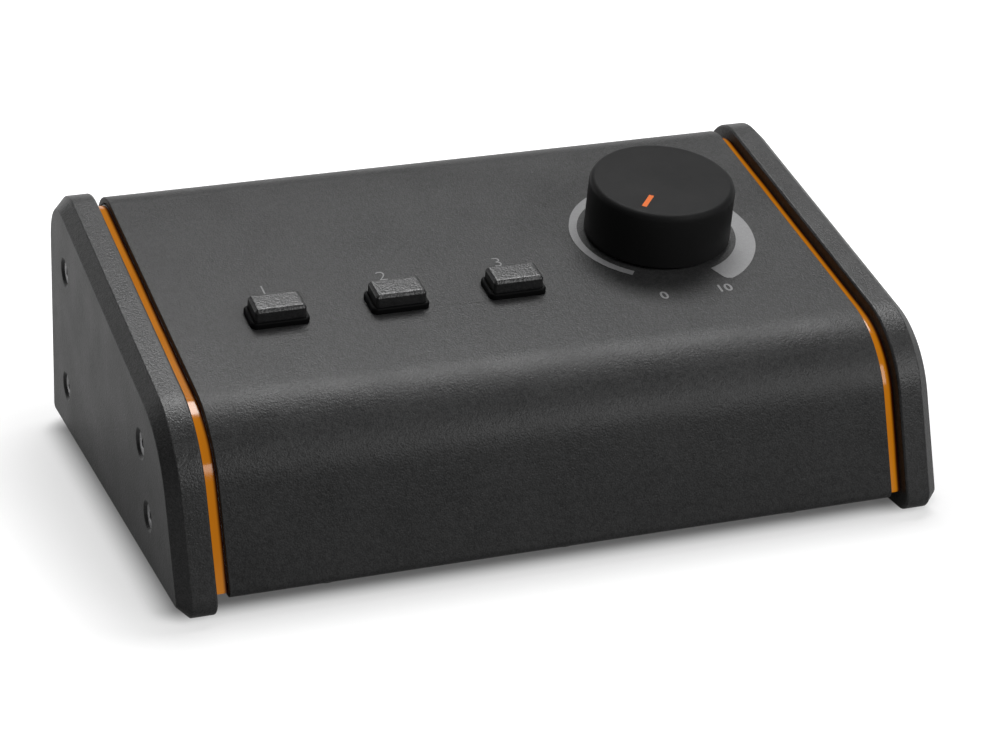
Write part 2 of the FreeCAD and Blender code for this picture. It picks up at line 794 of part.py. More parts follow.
def switch_spring():
    """The return spring between the housing's floor and the piston."""
    low = switch_floor_top + spring_wire_radius + spring_seat_gap
    high = piston_foot - spring_wire_radius - spring_seat_gap
    pitch = (high - low) / spring_turns
    helix = Part.makeHelix(pitch, high - low, spring_radius)
    turns = [math.radians(360 * (i + 0.5) / spring_wire_sides) for i in range(spring_wire_sides + 1)]
    section = Part.makePolygon([V(spring_radius + spring_wire_radius * math.cos(turn), 0,
                                  spring_wire_radius * math.sin(turn)) for turn in turns])
    coil = Part.Wire(helix.Edges).makePipeShell([section], True, True)
    coil.translate(V(0, 0, low))
    return coil


# ---------------------------------------------------------------- control board, local z off the panel

def control_pcb():
    """The board under the slope, in the frame of the panel's front corner."""
    half = shell_half_width - board_end_inset
    board = box(-half, half, board_front_distance, board_rear_distance, board_under, board_top)
    pot_hole = pot_case_radius + board_pot_clearance
    board = board.cut(disc(pot_hole, board_under, board_top, knob_x, knob_slope_distance))
    for x, y in standoff_points():
        board = board.cut(disc(screw_hole_radius, board_under, board_top, x, y))
    for x, y in resistor_lead_points():
        board = board.cut(disc(resistor_lead_radius + resistor_hole_fit, board_under, board_top, x, y))
    return board


def standoff_points():
    reach = shell_half_width - board_end_inset - standoff_inset
    rows = (board_front_distance + standoff_inset, board_rear_distance - standoff_inset)
    return [(x, y) for y in rows for x in (-reach, reach)]


def panel_standoffs():
    """Threaded pillars welded under the panel."""
    return group([tube(standoff_radius, nut_bore_radius, board_top, panel_inside, x, y)
                  for x, y in standoff_points()])


def board_screws():
    screws = []
    for x, y in standoff_points():
        screw = pan_screw(board_screw_length)
        screws.append(placed(screw, face_frame(V(x, y, board_under), rightward, -upright)))
    return group(screws)


def resistor_lead_points():
    first = board_end_inset - shell_half_width + resistor_left_inset
    return [(first + i * resistor_pitch, resistor_slope_distance + sign * resistor_lead_span / 2)
            for i in range(resistor_count) for sign in (-1, 1)]


def pad_resistors():
    """Axial resistors in a row, legs down through the board."""
    axis_z = board_top + resistor_lift + resistor_radius
    leg_foot = board_under - resistor_leg_run_out
    resistors = []
    points = resistor_lead_points()
    for (x, y0), (_, y1) in zip(points[::2], points[1::2]):
        middle = (y0 + y1) / 2
        start = V(x, middle - resistor_length / 2, axis_z)
        body = Part.makeCylinder(resistor_radius, resistor_length, start, V(0, 1, 0))
        lead = Part.makeCylinder(resistor_lead_radius, y1 - y0, V(x, y0, axis_z), V(0, 1, 0))
        legs = [disc(resistor_lead_radius, leg_foot, axis_z, x, y) for y in (y0, y1)]
        knees = [Part.makeSphere(resistor_lead_radius, V(x, y, axis_z)) for y in (y0, y1)]
        resistors.append(body.multiFuse([lead] + legs + knees))
    return group(resistors)


def header():
    """A box header standing on z = 0, its long side along x."""
    return box(-header_width / 2, header_width / 2, -header_depth / 2, header_depth / 2,
               0, header_height)


def header_frames():
    """Where the two headers stand: under the control board and in front of the rear board."""
    top = panel_frame(0, control_header_distance)
    top = top.multiply(FreeCAD.Placement(V(0, 0, board_under), FreeCAD.Rotation(rightward, 180)))
    rear = rear_frame(0, rear_header_height)
    back = -socket_depth - board_thickness
    rear = rear.multiply(FreeCAD.Placement(V(0, 0, back), FreeCAD.Rotation(rightward, 180)))
    return top, rear


def ribbon_cable():
    """A flat cable from header to header with one round bend, made from its side profile."""
    ends = []
    for place in header_frames():
        start = place.multVec(V(0, 0, header_height))
        ends.append((V(0, start.y, start.z), place.Rotation.multVec(V(0, 0, 1))))
    (start, down), (finish, ahead) = ends
    det = down.y * ahead.z - down.z * ahead.y
    run = ((finish.y - start.y) * ahead.z - (finish.z - start.z) * ahead.y) / det
    corner = start + down * run
    legs = (start - corner).normalize(), (finish - corner).normalize()
    half_angle = legs[0].getAngle(legs[1]) / 2
    middle = (legs[0] + legs[1]).normalize()
    centre = corner + middle * (ribbon_bend_radius / math.sin(half_angle))
    reach = ribbon_bend_radius / math.tan(half_angle)
    half = ribbon_thickness / 2
    inner, outer = ribbon_bend_radius - half, ribbon_bend_radius + half
    tangents = [corner + leg * reach for leg in legs]
    spokes = [(tangent - centre).normalize() for tangent in tangents]
    sides = {}
    for radius in (inner, outer):
        shift = radius - ribbon_bend_radius
        sides[radius] = [start + spokes[0] * shift, centre + spokes[0] * radius, centre - middle * radius,
                         centre + spokes[1] * radius, finish + spokes[1] * shift]
    a, b = sides[inner], sides[outer]
    edges = [Part.LineSegment(a[0], a[1]).toShape(), Part.Arc(a[1], a[2], a[3]).toShape(),
             Part.LineSegment(a[3], a[4]).toShape(), Part.LineSegment(a[4], b[4]).toShape(),
             Part.LineSegment(b[4], b[3]).toShape(), Part.Arc(b[3], b[2], b[1]).toShape(),
             Part.LineSegment(b[1], b[0]).toShape(), Part.LineSegment(b[0], a[0]).toShape()]
    face = Part.Face(Part.Wire(edges))
    face.translate(V(-ribbon_width / 2, 0, 0))
    return face.extrude(V(ribbon_width, 0, 0))


# ---------------------------------------------------------------- rear sockets, local z out of the case

def pin_points():
    return [(pin_circle * math.cos(math.radians(angle)), pin_circle * math.sin(math.radians(angle)))
            for angle in pin_angles]


def socket_blank():
    """The flange and barrel that all four sockets share, with two screw holes."""
    flange = rounded_block(socket_flange_width, socket_flange_height, socket_flange_corner,
                           0, socket_flange_thickness)
    flange = flange.makeChamfer(socket_flange_edge_break, edges_at(flange, socket_flange_thickness))
    blank = flange.fuse(disc(socket_body_radius, -socket_depth, 0)).removeSplitter()
    for sign in (-1, 1):
        blank = blank.cut(disc(screw_hole_radius, 0, socket_flange_thickness,
                               sign * socket_screw_x, -sign * socket_screw_y))
    return blank


def output_socket():
    """The shell of a male socket, bored right through for its insert, with a key on the cup's wall."""
    bore = disc(socket_cup_radius, -socket_depth, socket_flange_thickness)
    key = box(-key_width / 2, key_width / 2, socket_cup_radius - key_depth,
              socket_cup_radius + cutter_margin, cup_floor, socket_flange_thickness)
    return socket_blank().cut(bore.cut(key))


def output_insert():
    """The insert behind an output's cup, with a hole for each pin."""
    insert = disc(socket_cup_radius - core_fit, -socket_depth, cup_floor)
    for x, y in pin_points():
        insert = insert.cut(disc(pin_radius + pin_fit, -socket_depth, cup_floor, x, y))
    return insert


def output_pins():
    """The three pins of one output, from the cup to past the connector board."""
    tip = socket_flange_thickness - pin_set_back
    pins = []
    for x, y in pin_points():
        pin = disc(pin_radius, -socket_depth - board_thickness - pin_tail, tip, x, y)
        pins.append(pin.makeFillet(pin_tip_radius, edges_at(pin, tip)))
    return pins


def input_socket():
    """The shell of a combined socket: a cup with a keyway, and a narrower bore that holds its core."""
    mouth = socket_flange_thickness
    keyway = box(-key_width / 2, key_width / 2, 0, socket_cup_radius + key_depth, cup_floor, mouth)
    shell = socket_blank().cut(disc(socket_cup_radius, cup_floor, mouth)).cut(keyway)
    return shell.cut(disc(input_core_radius + core_fit, -socket_depth, cup_floor))


def input_insert():
    """The core of an input, standing free in the shell's mouth: a jack bore and three contact holes."""
    mouth = socket_flange_thickness
    insert = disc(input_core_radius, -socket_depth, mouth)
    insert = insert.cut(disc(jack_bore_radius, mouth - jack_bore_depth, mouth))
    deep = mouth - contact_set_back - contact_length
    for x, y in pin_points():
        insert = insert.cut(disc(contact_radius + pin_fit, deep, mouth, x, y))
    return insert


def input_contacts():
    """The three sleeve contacts of one input, lining its contact holes."""
    top = socket_flange_thickness - contact_set_back
    return [tube(contact_radius, contact_radius - contact_wall, top - contact_length, top, x, y)
            for x, y in pin_points()]


def connector_screws():
    screws = []
    for x in socket_x:
        for sign in (-1, 1):
            place = within(rear_frame(x, socket_height), sign * socket_screw_x, -sign * socket_screw_y,
                           socket_flange_thickness)
            screws.append(placed(pan_screw(connector_screw_length), place))
    return group(screws)


def mini_jack():
    """A small jack behind the rear wall, its threaded barrel drawn plain."""
    barrel = disc(mini_jack_radius, -shell_thickness, mini_jack_rise)
    body = box(-mini_jack_body_width / 2, mini_jack_body_width / 2, -mini_jack_body_height / 2,
               mini_jack_body_height / 2, -shell_thickness - mini_jack_body_depth, -shell_thickness)
    bore = disc(mini_jack_bore_radius, mini_jack_rise - mini_jack_bore_depth, mini_jack_rise)
    return barrel.fuse(body).removeSplitter().cut(bore)


def mini_jack_nut():
    outer = mini_jack_thread_hole + mini_jack_nut_wall
    return tube(outer, mini_jack_thread_hole, 0, mini_jack_nut_height)


def rear_board_foot():
    """How far up the rear face the connector board starts, so that it clears the tray."""
    back = rear_frame().multVec(V(0, 0, -socket_depth - board_thickness))
    return (tray_top_z + rear_board_floor_gap - back.z) / math.cos(math.radians(rear_lean))


def rear_pcb():
    """The connector board behind the four sockets."""
    half = shell_half_width - rear_board_end_inset
    front = -socket_depth
    foot = rear_board_foot()
    board = box(-half, half, foot, foot + rear_board_height, front - board_thickness, front)
    for socket in output_x:
        for x, y in pin_points():
            board = board.cut(disc(pin_radius + pin_fit, front - board_thickness, front,
                                   x - socket, y + socket_height))
    return board


# ---------------------------------------------------------------- assembly

def build():
    """All pieces by node name, in the frame of the case profile."""
    nodes = {"top_shell": top_shell(), "chassis_tray": chassis_tray()}
    for side, name in ((-1, "left"), (1, "right")):
        nodes[name + "_side_plate"] = side_plate(side)
        nodes[name + "_accent_plate"] = accent_plate(side)
    left_screws, right_screws, side_nuts = side_fasteners()
    nodes["left_side_screws"] = left_screws
    nodes["right_side_screws"] = right_screws
    nodes["side_clinch_nuts"] = side_nuts
    nodes["base_screws"], nodes["base_clinch_nuts"] = base_fasteners()
    nodes["rubber_feet"] = rubber_feet()

    at_knob = panel_frame(knob_x, knob_slope_distance)
    nodes["knob_pointer"] = placed(pointer_block(0, knob_top_height + pointer_rise), at_knob)
    for make in (volume_knob, knob_insert, pot_shaft, pot_wipers, pot_bushing, pot_washer, pot_nut,
                 pot_case, pot_tracks, pot_back_cover, pot_pins):
        nodes[make.__name__] = placed(make(), at_knob)

    for i, x in enumerate(button_x):
        at_button = panel_frame(x, button_slope_distance)
        for make in (button_cap, button_bezel, switch_body, switch_plunger, switch_spring):
            nodes["%s_%d" % (make.__name__, i + 1)] = placed(make(), at_button)

    for make in (control_pcb, panel_standoffs, board_screws, pad_resistors):
        nodes[make.__name__] = placed(make(), panel_frame())
    at_control_header, at_rear_header = header_frames()
    nodes["control_header"] = placed(header(), at_control_header)
    nodes["rear_header"] = placed(header(), at_rear_header)
    nodes["ribbon_cable"] = ribbon_cable()

    for make, places in ((output_socket, output_x), (input_socket, input_x)):
        for side, x in zip(("left", "right"), places):
            nodes["%s_%s" % (side, make.__name__)] = placed(make(), rear_frame(x, socket_height))
    nodes["output_inserts"] = group([placed(output_insert(), rear_frame(x, socket_height))
                                     for x in output_x])
    nodes["input_inserts"] = group([placed(input_insert(), rear_frame(x, socket_height))
                                    for x in input_x])
    nodes["output_pins"] = group([placed(pin, rear_frame(x, socket_height))
                                  for x in output_x for pin in output_pins()])
    nodes["input_contacts"] = group([placed(contact, rear_frame(x, socket_height))
                                     for x in input_x for contact in input_contacts()])
    nodes["connector_screws"] = connector_screws()
    nodes["mini_jack"] = placed(mini_jack(), rear_frame(0, socket_height))
    nodes["mini_jack_nut"] = placed(mini_jack_nut(), rear_frame(0, socket_height))
    nodes["rear_pcb"] = placed(rear_pcb(), rear_frame())
    return nodes


def origin_shift(nodes):
    """The move that puts the origin on the desk, under the middle of the whole controller."""
    extent = group(list(nodes.values())).BoundBox
    return V(0, -(extent.YMin + extent.YMax) / 2, -extent.ZMin)


def main():
    nodes = build()
    shift = origin_shift(nodes)
    os.makedirs("parts", exist_ok=True)
    for name, shape in nodes.items():
        shape.translate(shift)
        shape.exportStep("parts/%s.step" % name)
    print("%d nodes, origin shift %.4f %.4f" % (len(nodes), shift.y, shift.z))
    return nodes, shift


nodes_in_place, shift_to_origin = main()
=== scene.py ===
import json
import math

import bmesh
import bpy
from mathutils import Matrix, Vector


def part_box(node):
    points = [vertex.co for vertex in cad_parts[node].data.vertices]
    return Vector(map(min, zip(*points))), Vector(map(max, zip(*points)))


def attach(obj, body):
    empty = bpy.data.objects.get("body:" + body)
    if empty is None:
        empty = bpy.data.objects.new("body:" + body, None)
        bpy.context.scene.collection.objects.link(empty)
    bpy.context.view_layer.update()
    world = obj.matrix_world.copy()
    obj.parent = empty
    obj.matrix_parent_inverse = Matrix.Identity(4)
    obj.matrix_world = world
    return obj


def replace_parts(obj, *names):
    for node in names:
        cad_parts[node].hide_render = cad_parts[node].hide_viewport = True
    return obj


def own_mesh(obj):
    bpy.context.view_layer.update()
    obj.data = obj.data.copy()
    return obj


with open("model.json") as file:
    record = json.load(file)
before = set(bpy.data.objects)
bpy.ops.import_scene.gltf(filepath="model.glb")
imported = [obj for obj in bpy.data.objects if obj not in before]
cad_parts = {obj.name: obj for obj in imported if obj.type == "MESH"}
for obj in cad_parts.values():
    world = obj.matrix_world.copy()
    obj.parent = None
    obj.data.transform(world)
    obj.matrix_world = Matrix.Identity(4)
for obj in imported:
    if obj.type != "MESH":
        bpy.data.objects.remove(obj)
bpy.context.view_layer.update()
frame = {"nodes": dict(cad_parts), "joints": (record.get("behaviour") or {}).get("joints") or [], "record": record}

# The looks of a desktop monitor controller. Metres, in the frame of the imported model: x to the
# right, y from front to rear, z up from the desk.

mm = 0.001
joints = {joint["name"]: joint for joint in frame["joints"]}
slot_of = {part["node"]: part["material_slot"] for part in frame["record"]["subparts"]}


def frame_of(origin, x_axis, z_axis):
    """A placement with its local x and z along these directions."""
    x, z = x_axis.normalized(), z_axis.normalized()
    return Matrix.Translation(origin) @ Matrix((x, z.cross(x), z)).transposed().to_4x4()


# The slope: local x to the right, y up the slope, z off the panel. Its origin is the knob's axis.
panel_normal = -Vector(joints["volume_turn"]["axis"])
knob_place = frame_of(Vector(joints["volume_turn"]["pos_m"]), Vector((1, 0, 0)), panel_normal)
tilt = (math.atan2(-panel_normal.y, panel_normal.z), 0.0, 0.0)
knob_up_slope = 54.3 * mm
panel_place = knob_place @ Matrix.Translation((-joints["volume_turn"]["pos_m"][0], -knob_up_slope, 0))

# The rear wall: straight out of it is the way that the mini jack points.
mounts = {mount["name"]: mount for mount in frame["record"]["mounts"]}
rear_normal = Vector(mounts["mini_jack_bore"]["axis"])


# ---------------------------------------------------------------- camera

def set_camera():
    look_down, look_right = 0.37735, 0.34516
    lens = bpy.data.cameras.new("studio_camera")
    lens.lens = 112.271
    lens.sensor_width = 36.0
    lens.clip_start = 0.05
    lens.clip_end = 20.0
    camera = bpy.data.objects.new("studio_camera", lens)
    camera.location = (-0.227714, -0.648035, 0.294782)
    camera.rotation_euler = (math.pi / 2 - look_down, 0, -look_right)
    bpy.context.scene.collection.objects.link(camera)
    bpy.context.scene.camera = camera


set_camera()


# ---------------------------------------------------------------- node trees

def add(tree, kind, inputs=None, **settings):
    """A new node with its settings made, and its inputs set to values or joined to sockets."""
    node = tree.nodes.new(kind)
    for name, value in settings.items():
        setattr(node, name, value)
    for key, value in (inputs or {}).items():
        if isinstance(value, bpy.types.NodeSocket):
            tree.links.new(value, node.inputs[key])
        else:
            node.inputs[key].default_value = value
    return node


def group_tree(name, kind, takes, gives):
    """A node group with named sockets, and the sockets that its inside reads and fills."""
    tree = bpy.data.node_groups.new(name, kind)
    for label, (socket_kind, value) in takes.items():
        socket = tree.interface.new_socket(label, in_out="INPUT", socket_type="NodeSocket" + socket_kind)
        if value is not None:
            socket.default_value = value
    for label, socket_kind in gives.items():
        tree.interface.new_socket(label, in_out="OUTPUT", socket_type="NodeSocket" + socket_kind)
    taken = tree.nodes.new("NodeGroupInput").outputs
    given = tree.nodes.new("NodeGroupOutput").inputs
    return tree, taken, given


def math_node(tree, operation, *values, clamp=False):
    """One step of arithmetic on sockets and numbers."""
    node = add(tree, "ShaderNodeMath", dict(enumerate(values)), operation=operation, use_clamp=clamp)
    return node.outputs[0]


def chained(operation):
    """A function that works through its values from left to right."""
    def fold(tree, *values):
        whole = values[0]
        for value in values[1:]:
            whole = math_node(tree, operation, whole, value)
        return whole
    return fold


total, difference, product, quotient, largest = (
    chained(operation) for operation in ("ADD", "SUBTRACT", "MULTIPLY", "DIVIDE", "MAXIMUM"))


def ranged(tree, value, low, high, to_low, to_high, **settings):
    """A value carried from one span to another, and held at its ends."""
    node = add(tree, "ShaderNodeMapRange", {"Value": value, "From Min": low, "From Max": high,
                                            "To Min": to_low, "To Max": to_high}, **settings)
    return node.outputs[0]


def eased_range(tree, *values):
    """Like ranged, with a soft start and end."""
    return ranged(tree, *values, interpolation_type="SMOOTHSTEP")


def noise(tree, point, scale, detail=2.0, rough=0.5):
    node = add(tree, "ShaderNodeTexNoise", {"Vector": point, "Scale": scale, "Detail": detail,
                                            "Roughness": rough})
    return node.outputs["Fac"]


def blended(tree, share, first, second):
    """A colour between two colours."""
    node = add(tree, "ShaderNodeMix", {0: share, 6: first, 7: second}, data_type="RGBA")
    return node.outputs[2]


# ---------------------------------------------------------------- shared surface groups

def make_powder_grain():
    """The pebbled skin of a fine-textured powder coat, with the slower flow of the paint under it."""
    tree, taken, given = group_tree(
        "powder_grain", "ShaderNodeTree",
        {"Point": ("Vector", None), "Grain": ("Float", 0.4 * mm)},
        {"Height": "Float", "Shade": "Float", "Flow": "Float"})
    per_metre = quotient(tree, 1.0, taken["Grain"])
    pebbles = add(tree, "ShaderNodeTexVoronoi",
                  {"Vector": taken["Point"], "Scale": per_metre, "Smoothness": 0.5},
                  feature="SMOOTH_F1").outputs["Distance"]
    grit = noise(tree, taken["Point"], product(tree, per_metre, 1.6), 1.0)
    clumps = noise(tree, taken["Point"], product(tree, per_metre, 0.42), 2.0, 0.6)
    flow = noise(tree, taken["Point"], product(tree, per_metre, 0.035), 2.0)
    height = total(tree, product(tree, pebbles, -0.8), product(tree, grit, 0.7), product(tree, clumps, 0.6))
    tree.links.new(height, given["Height"])
    shade = total(tree, product(tree, grit, 0.6), product(tree, clumps, 0.4))
    tree.links.new(ranged(tree, shade, 0.36, 0.64, 0.0, 1.0), given["Shade"])
    tree.links.new(ranged(tree, flow, 0.3, 0.7, 0.0, 1.0), given["Flow"])
    return tree


def make_moulded_skin():
    """Spark-eroded mould texture on plastic and rubber, with faint flow marks."""
    tree, taken, given = group_tree(
        "moulded_skin", "ShaderNodeTree",
        {"Point": ("Vector", None), "Grain": ("Float", 0.2 * mm)},
        {"Height": "Float", "Shade": "Float", "Flow": "Float"})
    per_metre = quotient(tree, 1.0, taken["Grain"])
    fine = noise(tree, taken["Point"], per_metre, 3.0, 0.6)
    flow = noise(tree, taken["Point"], product(tree, per_metre, 0.02), 3.0, 0.55)
    tree.links.new(fine, given["Height"])
    tree.links.new(ranged(tree, fine, 0.35, 0.65, 0.0, 1.0), given["Shade"])
    tree.links.new(ranged(tree, flow, 0.3, 0.7, 0.0, 1.0), given["Flow"])
    return tree


def make_drawn_metal():
    """Fine lines left by rolling, drawing or turning: noise pulled out along one direction."""
    tree, taken, given = group_tree(
        "drawn_metal", "ShaderNodeTree",
        {"Point": ("Vector", None), "Stretch": ("Vector", (1.0, 1.0, 1.0)), "Line": ("Float", 0.2 * mm)},
        {"Height": "Float", "Shade": "Float", "Flow": "Float"})
    per_metre = quotient(tree, 1.0, taken["Line"])
    pulled = add(tree, "ShaderNodeVectorMath", {0: taken["Point"], 1: taken["Stretch"]},
                 operation="MULTIPLY").outputs[0]
    lines = noise(tree, pulled, per_metre, 4.0, 0.65)
    clouds = noise(tree, taken["Point"], product(tree, per_metre, 0.03), 3.0)
    tree.links.new(lines, given["Height"])
    tree.links.new(ranged(tree, lines, 0.3, 0.7, 0.0, 1.0), given["Shade"])
    tree.links.new(ranged(tree, clouds, 0.3, 0.7, 0.0, 1.0), given["Flow"])
    return tree


def make_edge_rub():
    """1 on the edges, broken up by noise; 0 on open faces. It lightens the edges as a painted highlight, and as
    the wear that hands and cloths give them first.
    """
    tree, taken, given = group_tree(
        "edge_rub_and_painted_highlight", "ShaderNodeTree",
        {"Point": ("Vector", None), "Width": ("Float", 0.4 * mm), "Patch": ("Float", 3.0 * mm)},
        {"Rub And Highlight": "Float"})
    rounded = add(tree, "ShaderNodeBevel", {"Radius": taken["Width"]}, samples=4).outputs[0]
    facing = add(tree, "ShaderNodeNewGeometry").outputs["Normal"]
    along = add(tree, "ShaderNodeVectorMath", {0: rounded, 1: facing},
                operation="DOT_PRODUCT").outputs["Value"]
    edge = ranged(tree, along, 0.995, 0.9, 0.0, 1.0)
    patches = noise(tree, taken["Point"], quotient(tree, 1.0, taken["Patch"]), 3.0)
    broken = ranged(tree, patches, 0.35, 0.6, 0.0, 1.0)
    tree.links.new(math_node(tree, "MULTIPLY", edge, broken, clamp=True), given["Rub And Highlight"])
    return tree


surface_groups = {"powder_grain": make_powder_grain(), "moulded_skin": make_moulded_skin(),
                  "drawn_metal": make_drawn_metal()}
edge_rub_and_painted_highlight = make_edge_rub()


# ---------------------------------------------------------------- finishes

finishes = {}


def new_material(name):
    material = bpy.data.materials.new(name)
    material.use_nodes = True
    tree = material.node_tree
    tree.nodes.clear()
    shader = add(tree, "ShaderNodeBsdfPrincipled")
    add(tree, "ShaderNodeOutputMaterial", {"Surface": shader.outputs[0]})
    return material, tree, shader


def object_point(tree, turn=(0.0, 0.0, 0.0), origin=(0.0, 0.0, 0.0)):
    """The point on the piece, moved so that a pattern lies square to a tilted part."""
    point = add(tree, "ShaderNodeTexCoord").outputs["Object"]
    if any(turn) or any(origin):
        point = add(tree, "ShaderNodeMapping", {"Vector": point, "Location": origin, "Rotation": turn},
                    vector_type="TEXTURE").outputs[0]
    return point


def moulded(tree, point, grain):
    """The moulded skin at this grain."""
    return add(tree, "ShaderNodeGroup", {"Point": point, "Grain": grain},
               node_tree=surface_groups["moulded_skin"])


def fill_shader(tree, shader, base, flow, roughness, height, depth):
    """Feed a shader its colour, a roughness that drifts with the flow, and a bump of this depth."""
    tree.links.new(base, shader.inputs["Base Color"])
    tree.links.new(ranged(tree, flow, 0.0, 1.0, *roughness), shader.inputs["Roughness"])
    bump = add(tree, "ShaderNodeBump", {"Height": height, "Distance": depth})
    tree.links.new(bump.outputs[0], shader.inputs["Normal"])


def finish(name, colour, roughness, surface, size, depth, shade=0.1, uneven=0.08, rub_and_highlight=0.0,
           rub_and_highlight_colour=(), stretch=None, **shader_values):
    """A finish from one shared surface group.

    shade moves the colour up and down by this share, uneven moves the roughness, depth is the bump's height, and
    the edge share gives how strongly edges lighten, a painted highlight with some wear. Other values go onto the
    shader."""
    grain_share, flow_share = 0.85, 0.15
    material, tree, shader = new_material(name)
    point = object_point(tree)
    skin = add(tree, "ShaderNodeGroup", node_tree=surface_groups[surface])
    tree.links.new(point, skin.inputs["Point"])
    skin.inputs[-1].default_value = size
    if stretch:
        skin.inputs["Stretch"].default_value = stretch
    dark = [channel * (1 - shade) for channel in colour] + [1.0]
    light = [channel * (1 + shade) for channel in colour] + [1.0]
    share = total(tree, product(tree, skin.outputs["Shade"], grain_share),
                  product(tree, skin.outputs["Flow"], flow_share))
    base = blended(tree, share, dark, light)
    # Edges are lightened towards a paler grey: a painted highlight along them, with some wear.
    if rub_and_highlight:
        rubbed_and_highlit = add(tree, "ShaderNodeGroup", {"Point": point}, node_tree=edge_rub_and_painted_highlight)
        base = blended(tree, product(tree, rubbed_and_highlit.outputs["Rub And Highlight"], rub_and_highlight), base, rub_and_highlight_colour + (1.0,))
    fill_shader(tree, shader, base, skin.outputs["Flow"], (roughness - uneven, roughness + uneven),
                skin.outputs["Height"], depth)
    for socket, value in shader_values.items():
        shader.inputs[socket.replace("_", " ")].default_value = value
    finishes[name] = material


def metal(name, colour, roughness, stretch, line, depth, **more):
    finish(name, colour, roughness, "drawn_metal", line, depth, stretch=stretch, shade=0.08, Metallic=1.0,
           **more)


# The paler edge grey of these coats is a painted highlight more than wear.
finish("shell_coat", (0.048, 0.0482, 0.0485), 0.39, "powder_grain", 0.50 * mm, 0.055 * mm, shade=0.45,
       uneven=0.04, rub_and_highlight=0.35, rub_and_highlight_colour=(0.10, 0.10, 0.10), Specular_IOR_Level=0.23)
finish("plate_coat", (0.051, 0.0512, 0.0515), 0.36, "powder_grain", 0.50 * mm, 0.060 * mm, shade=0.45,
       uneven=0.04, rub_and_highlight=0.4, rub_and_highlight_colour=(0.11, 0.11, 0.11), Specular_IOR_Level=0.32)
finish("soft_black", (0.0135, 0.0135, 0.0137), 0.52, "moulded_skin", 0.16 * mm, 0.006 * mm, shade=0.12,
       uneven=0.05, Specular_IOR_Level=0.12)
finish("cap_black", (0.020, 0.020, 0.0205), 0.31, "powder_grain", 0.46 * mm, 0.070 * mm, shade=0.6,
       uneven=0.04, Specular_IOR_Level=0.60)
finish("bezel_black", (0.004, 0.004, 0.0042), 0.58, "moulded_skin", 0.3 * mm, 0.006 * mm, shade=0.15,
       uneven=0.05, Specular_IOR_Level=0.10)
finish("foot_rubber", (0.014, 0.014, 0.014), 0.75, "moulded_skin", 0.3 * mm, 0.02 * mm, shade=0.2)
finish("socket_black", (0.016, 0.016, 0.017), 0.34, "powder_grain", 0.30 * mm, 0.012 * mm, shade=0.2,
       uneven=0.06, rub_and_highlight=0.6, rub_and_highlight_colour=(0.12, 0.12, 0.12))
finish("insert_black", (0.012, 0.012, 0.0125), 0.46, "moulded_skin", 0.25 * mm, 0.010 * mm, shade=0.15)
finish("header_black", (0.016, 0.016, 0.017), 0.45, "moulded_skin", 0.2 * mm, 0.008 * mm)
finish("switch_resin", (0.018, 0.018, 0.018), 0.5, "moulded_skin", 0.2 * mm, 0.008 * mm)
finish("plunger_resin", (0.70, 0.70, 0.66), 0.35, "moulded_skin", 0.3 * mm, 0.004 * mm, shade=0.04)
finish("wiper_resin", (0.56, 0.53, 0.44), 0.4, "moulded_skin", 0.3 * mm, 0.006 * mm, shade=0.06)
metal("tray_zinc", (0.58, 0.59, 0.60), 0.36, (0.05, 1.0, 1.0), 0.25 * mm, 0.004 * mm, uneven=0.06)
metal("bright_steel", (0.34, 0.34, 0.345), 0.30, (1.0, 1.0, 1.0), 0.15 * mm, 0.003 * mm, uneven=0.08)
metal("zinc_steel", (0.60, 0.60, 0.62), 0.34, (0.2, 1.0, 1.0), 0.2 * mm, 0.004 * mm, uneven=0.1)
metal("black_steel", (0.035, 0.035, 0.037), 0.38, (1.0, 1.0, 1.0), 0.2 * mm, 0.004 * mm, uneven=0.1)
metal("brass_bare", (0.74, 0.52, 0.23), 0.28, (0.1, 1.0, 1.0), 0.15 * mm, 0.004 * mm)
metal("nickel_brass", (0.62, 0.60, 0.56), 0.24, (1.0, 1.0, 0.1), 0.15 * mm, 0.003 * mm)
metal("pot_can", (0.66, 0.66, 0.67), 0.3, (1.0, 0.1, 1.0), 0.2 * mm, 0.004 * mm)
metal("spring_steel", (0.55, 0.55, 0.56), 0.25, (1.0, 1.0, 1.0), 0.1 * mm, 0.002 * mm)
metal("contact_gold", (0.83, 0.62, 0.24), 0.2, (1.0, 1.0, 1.0), 0.15 * mm, 0.002 * mm)
finish("orange_inlay", (0.95, 0.215, 0.050), 0.55, "moulded_skin", 0.2 * mm, 0.006 * mm, shade=0.07,
       Specular_IOR_Level=0.12)
finish("paint_print", (0.30, 0.30, 0.305), 0.55, "powder_grain", 0.42 * mm, 0.020 * mm, shade=0.10)


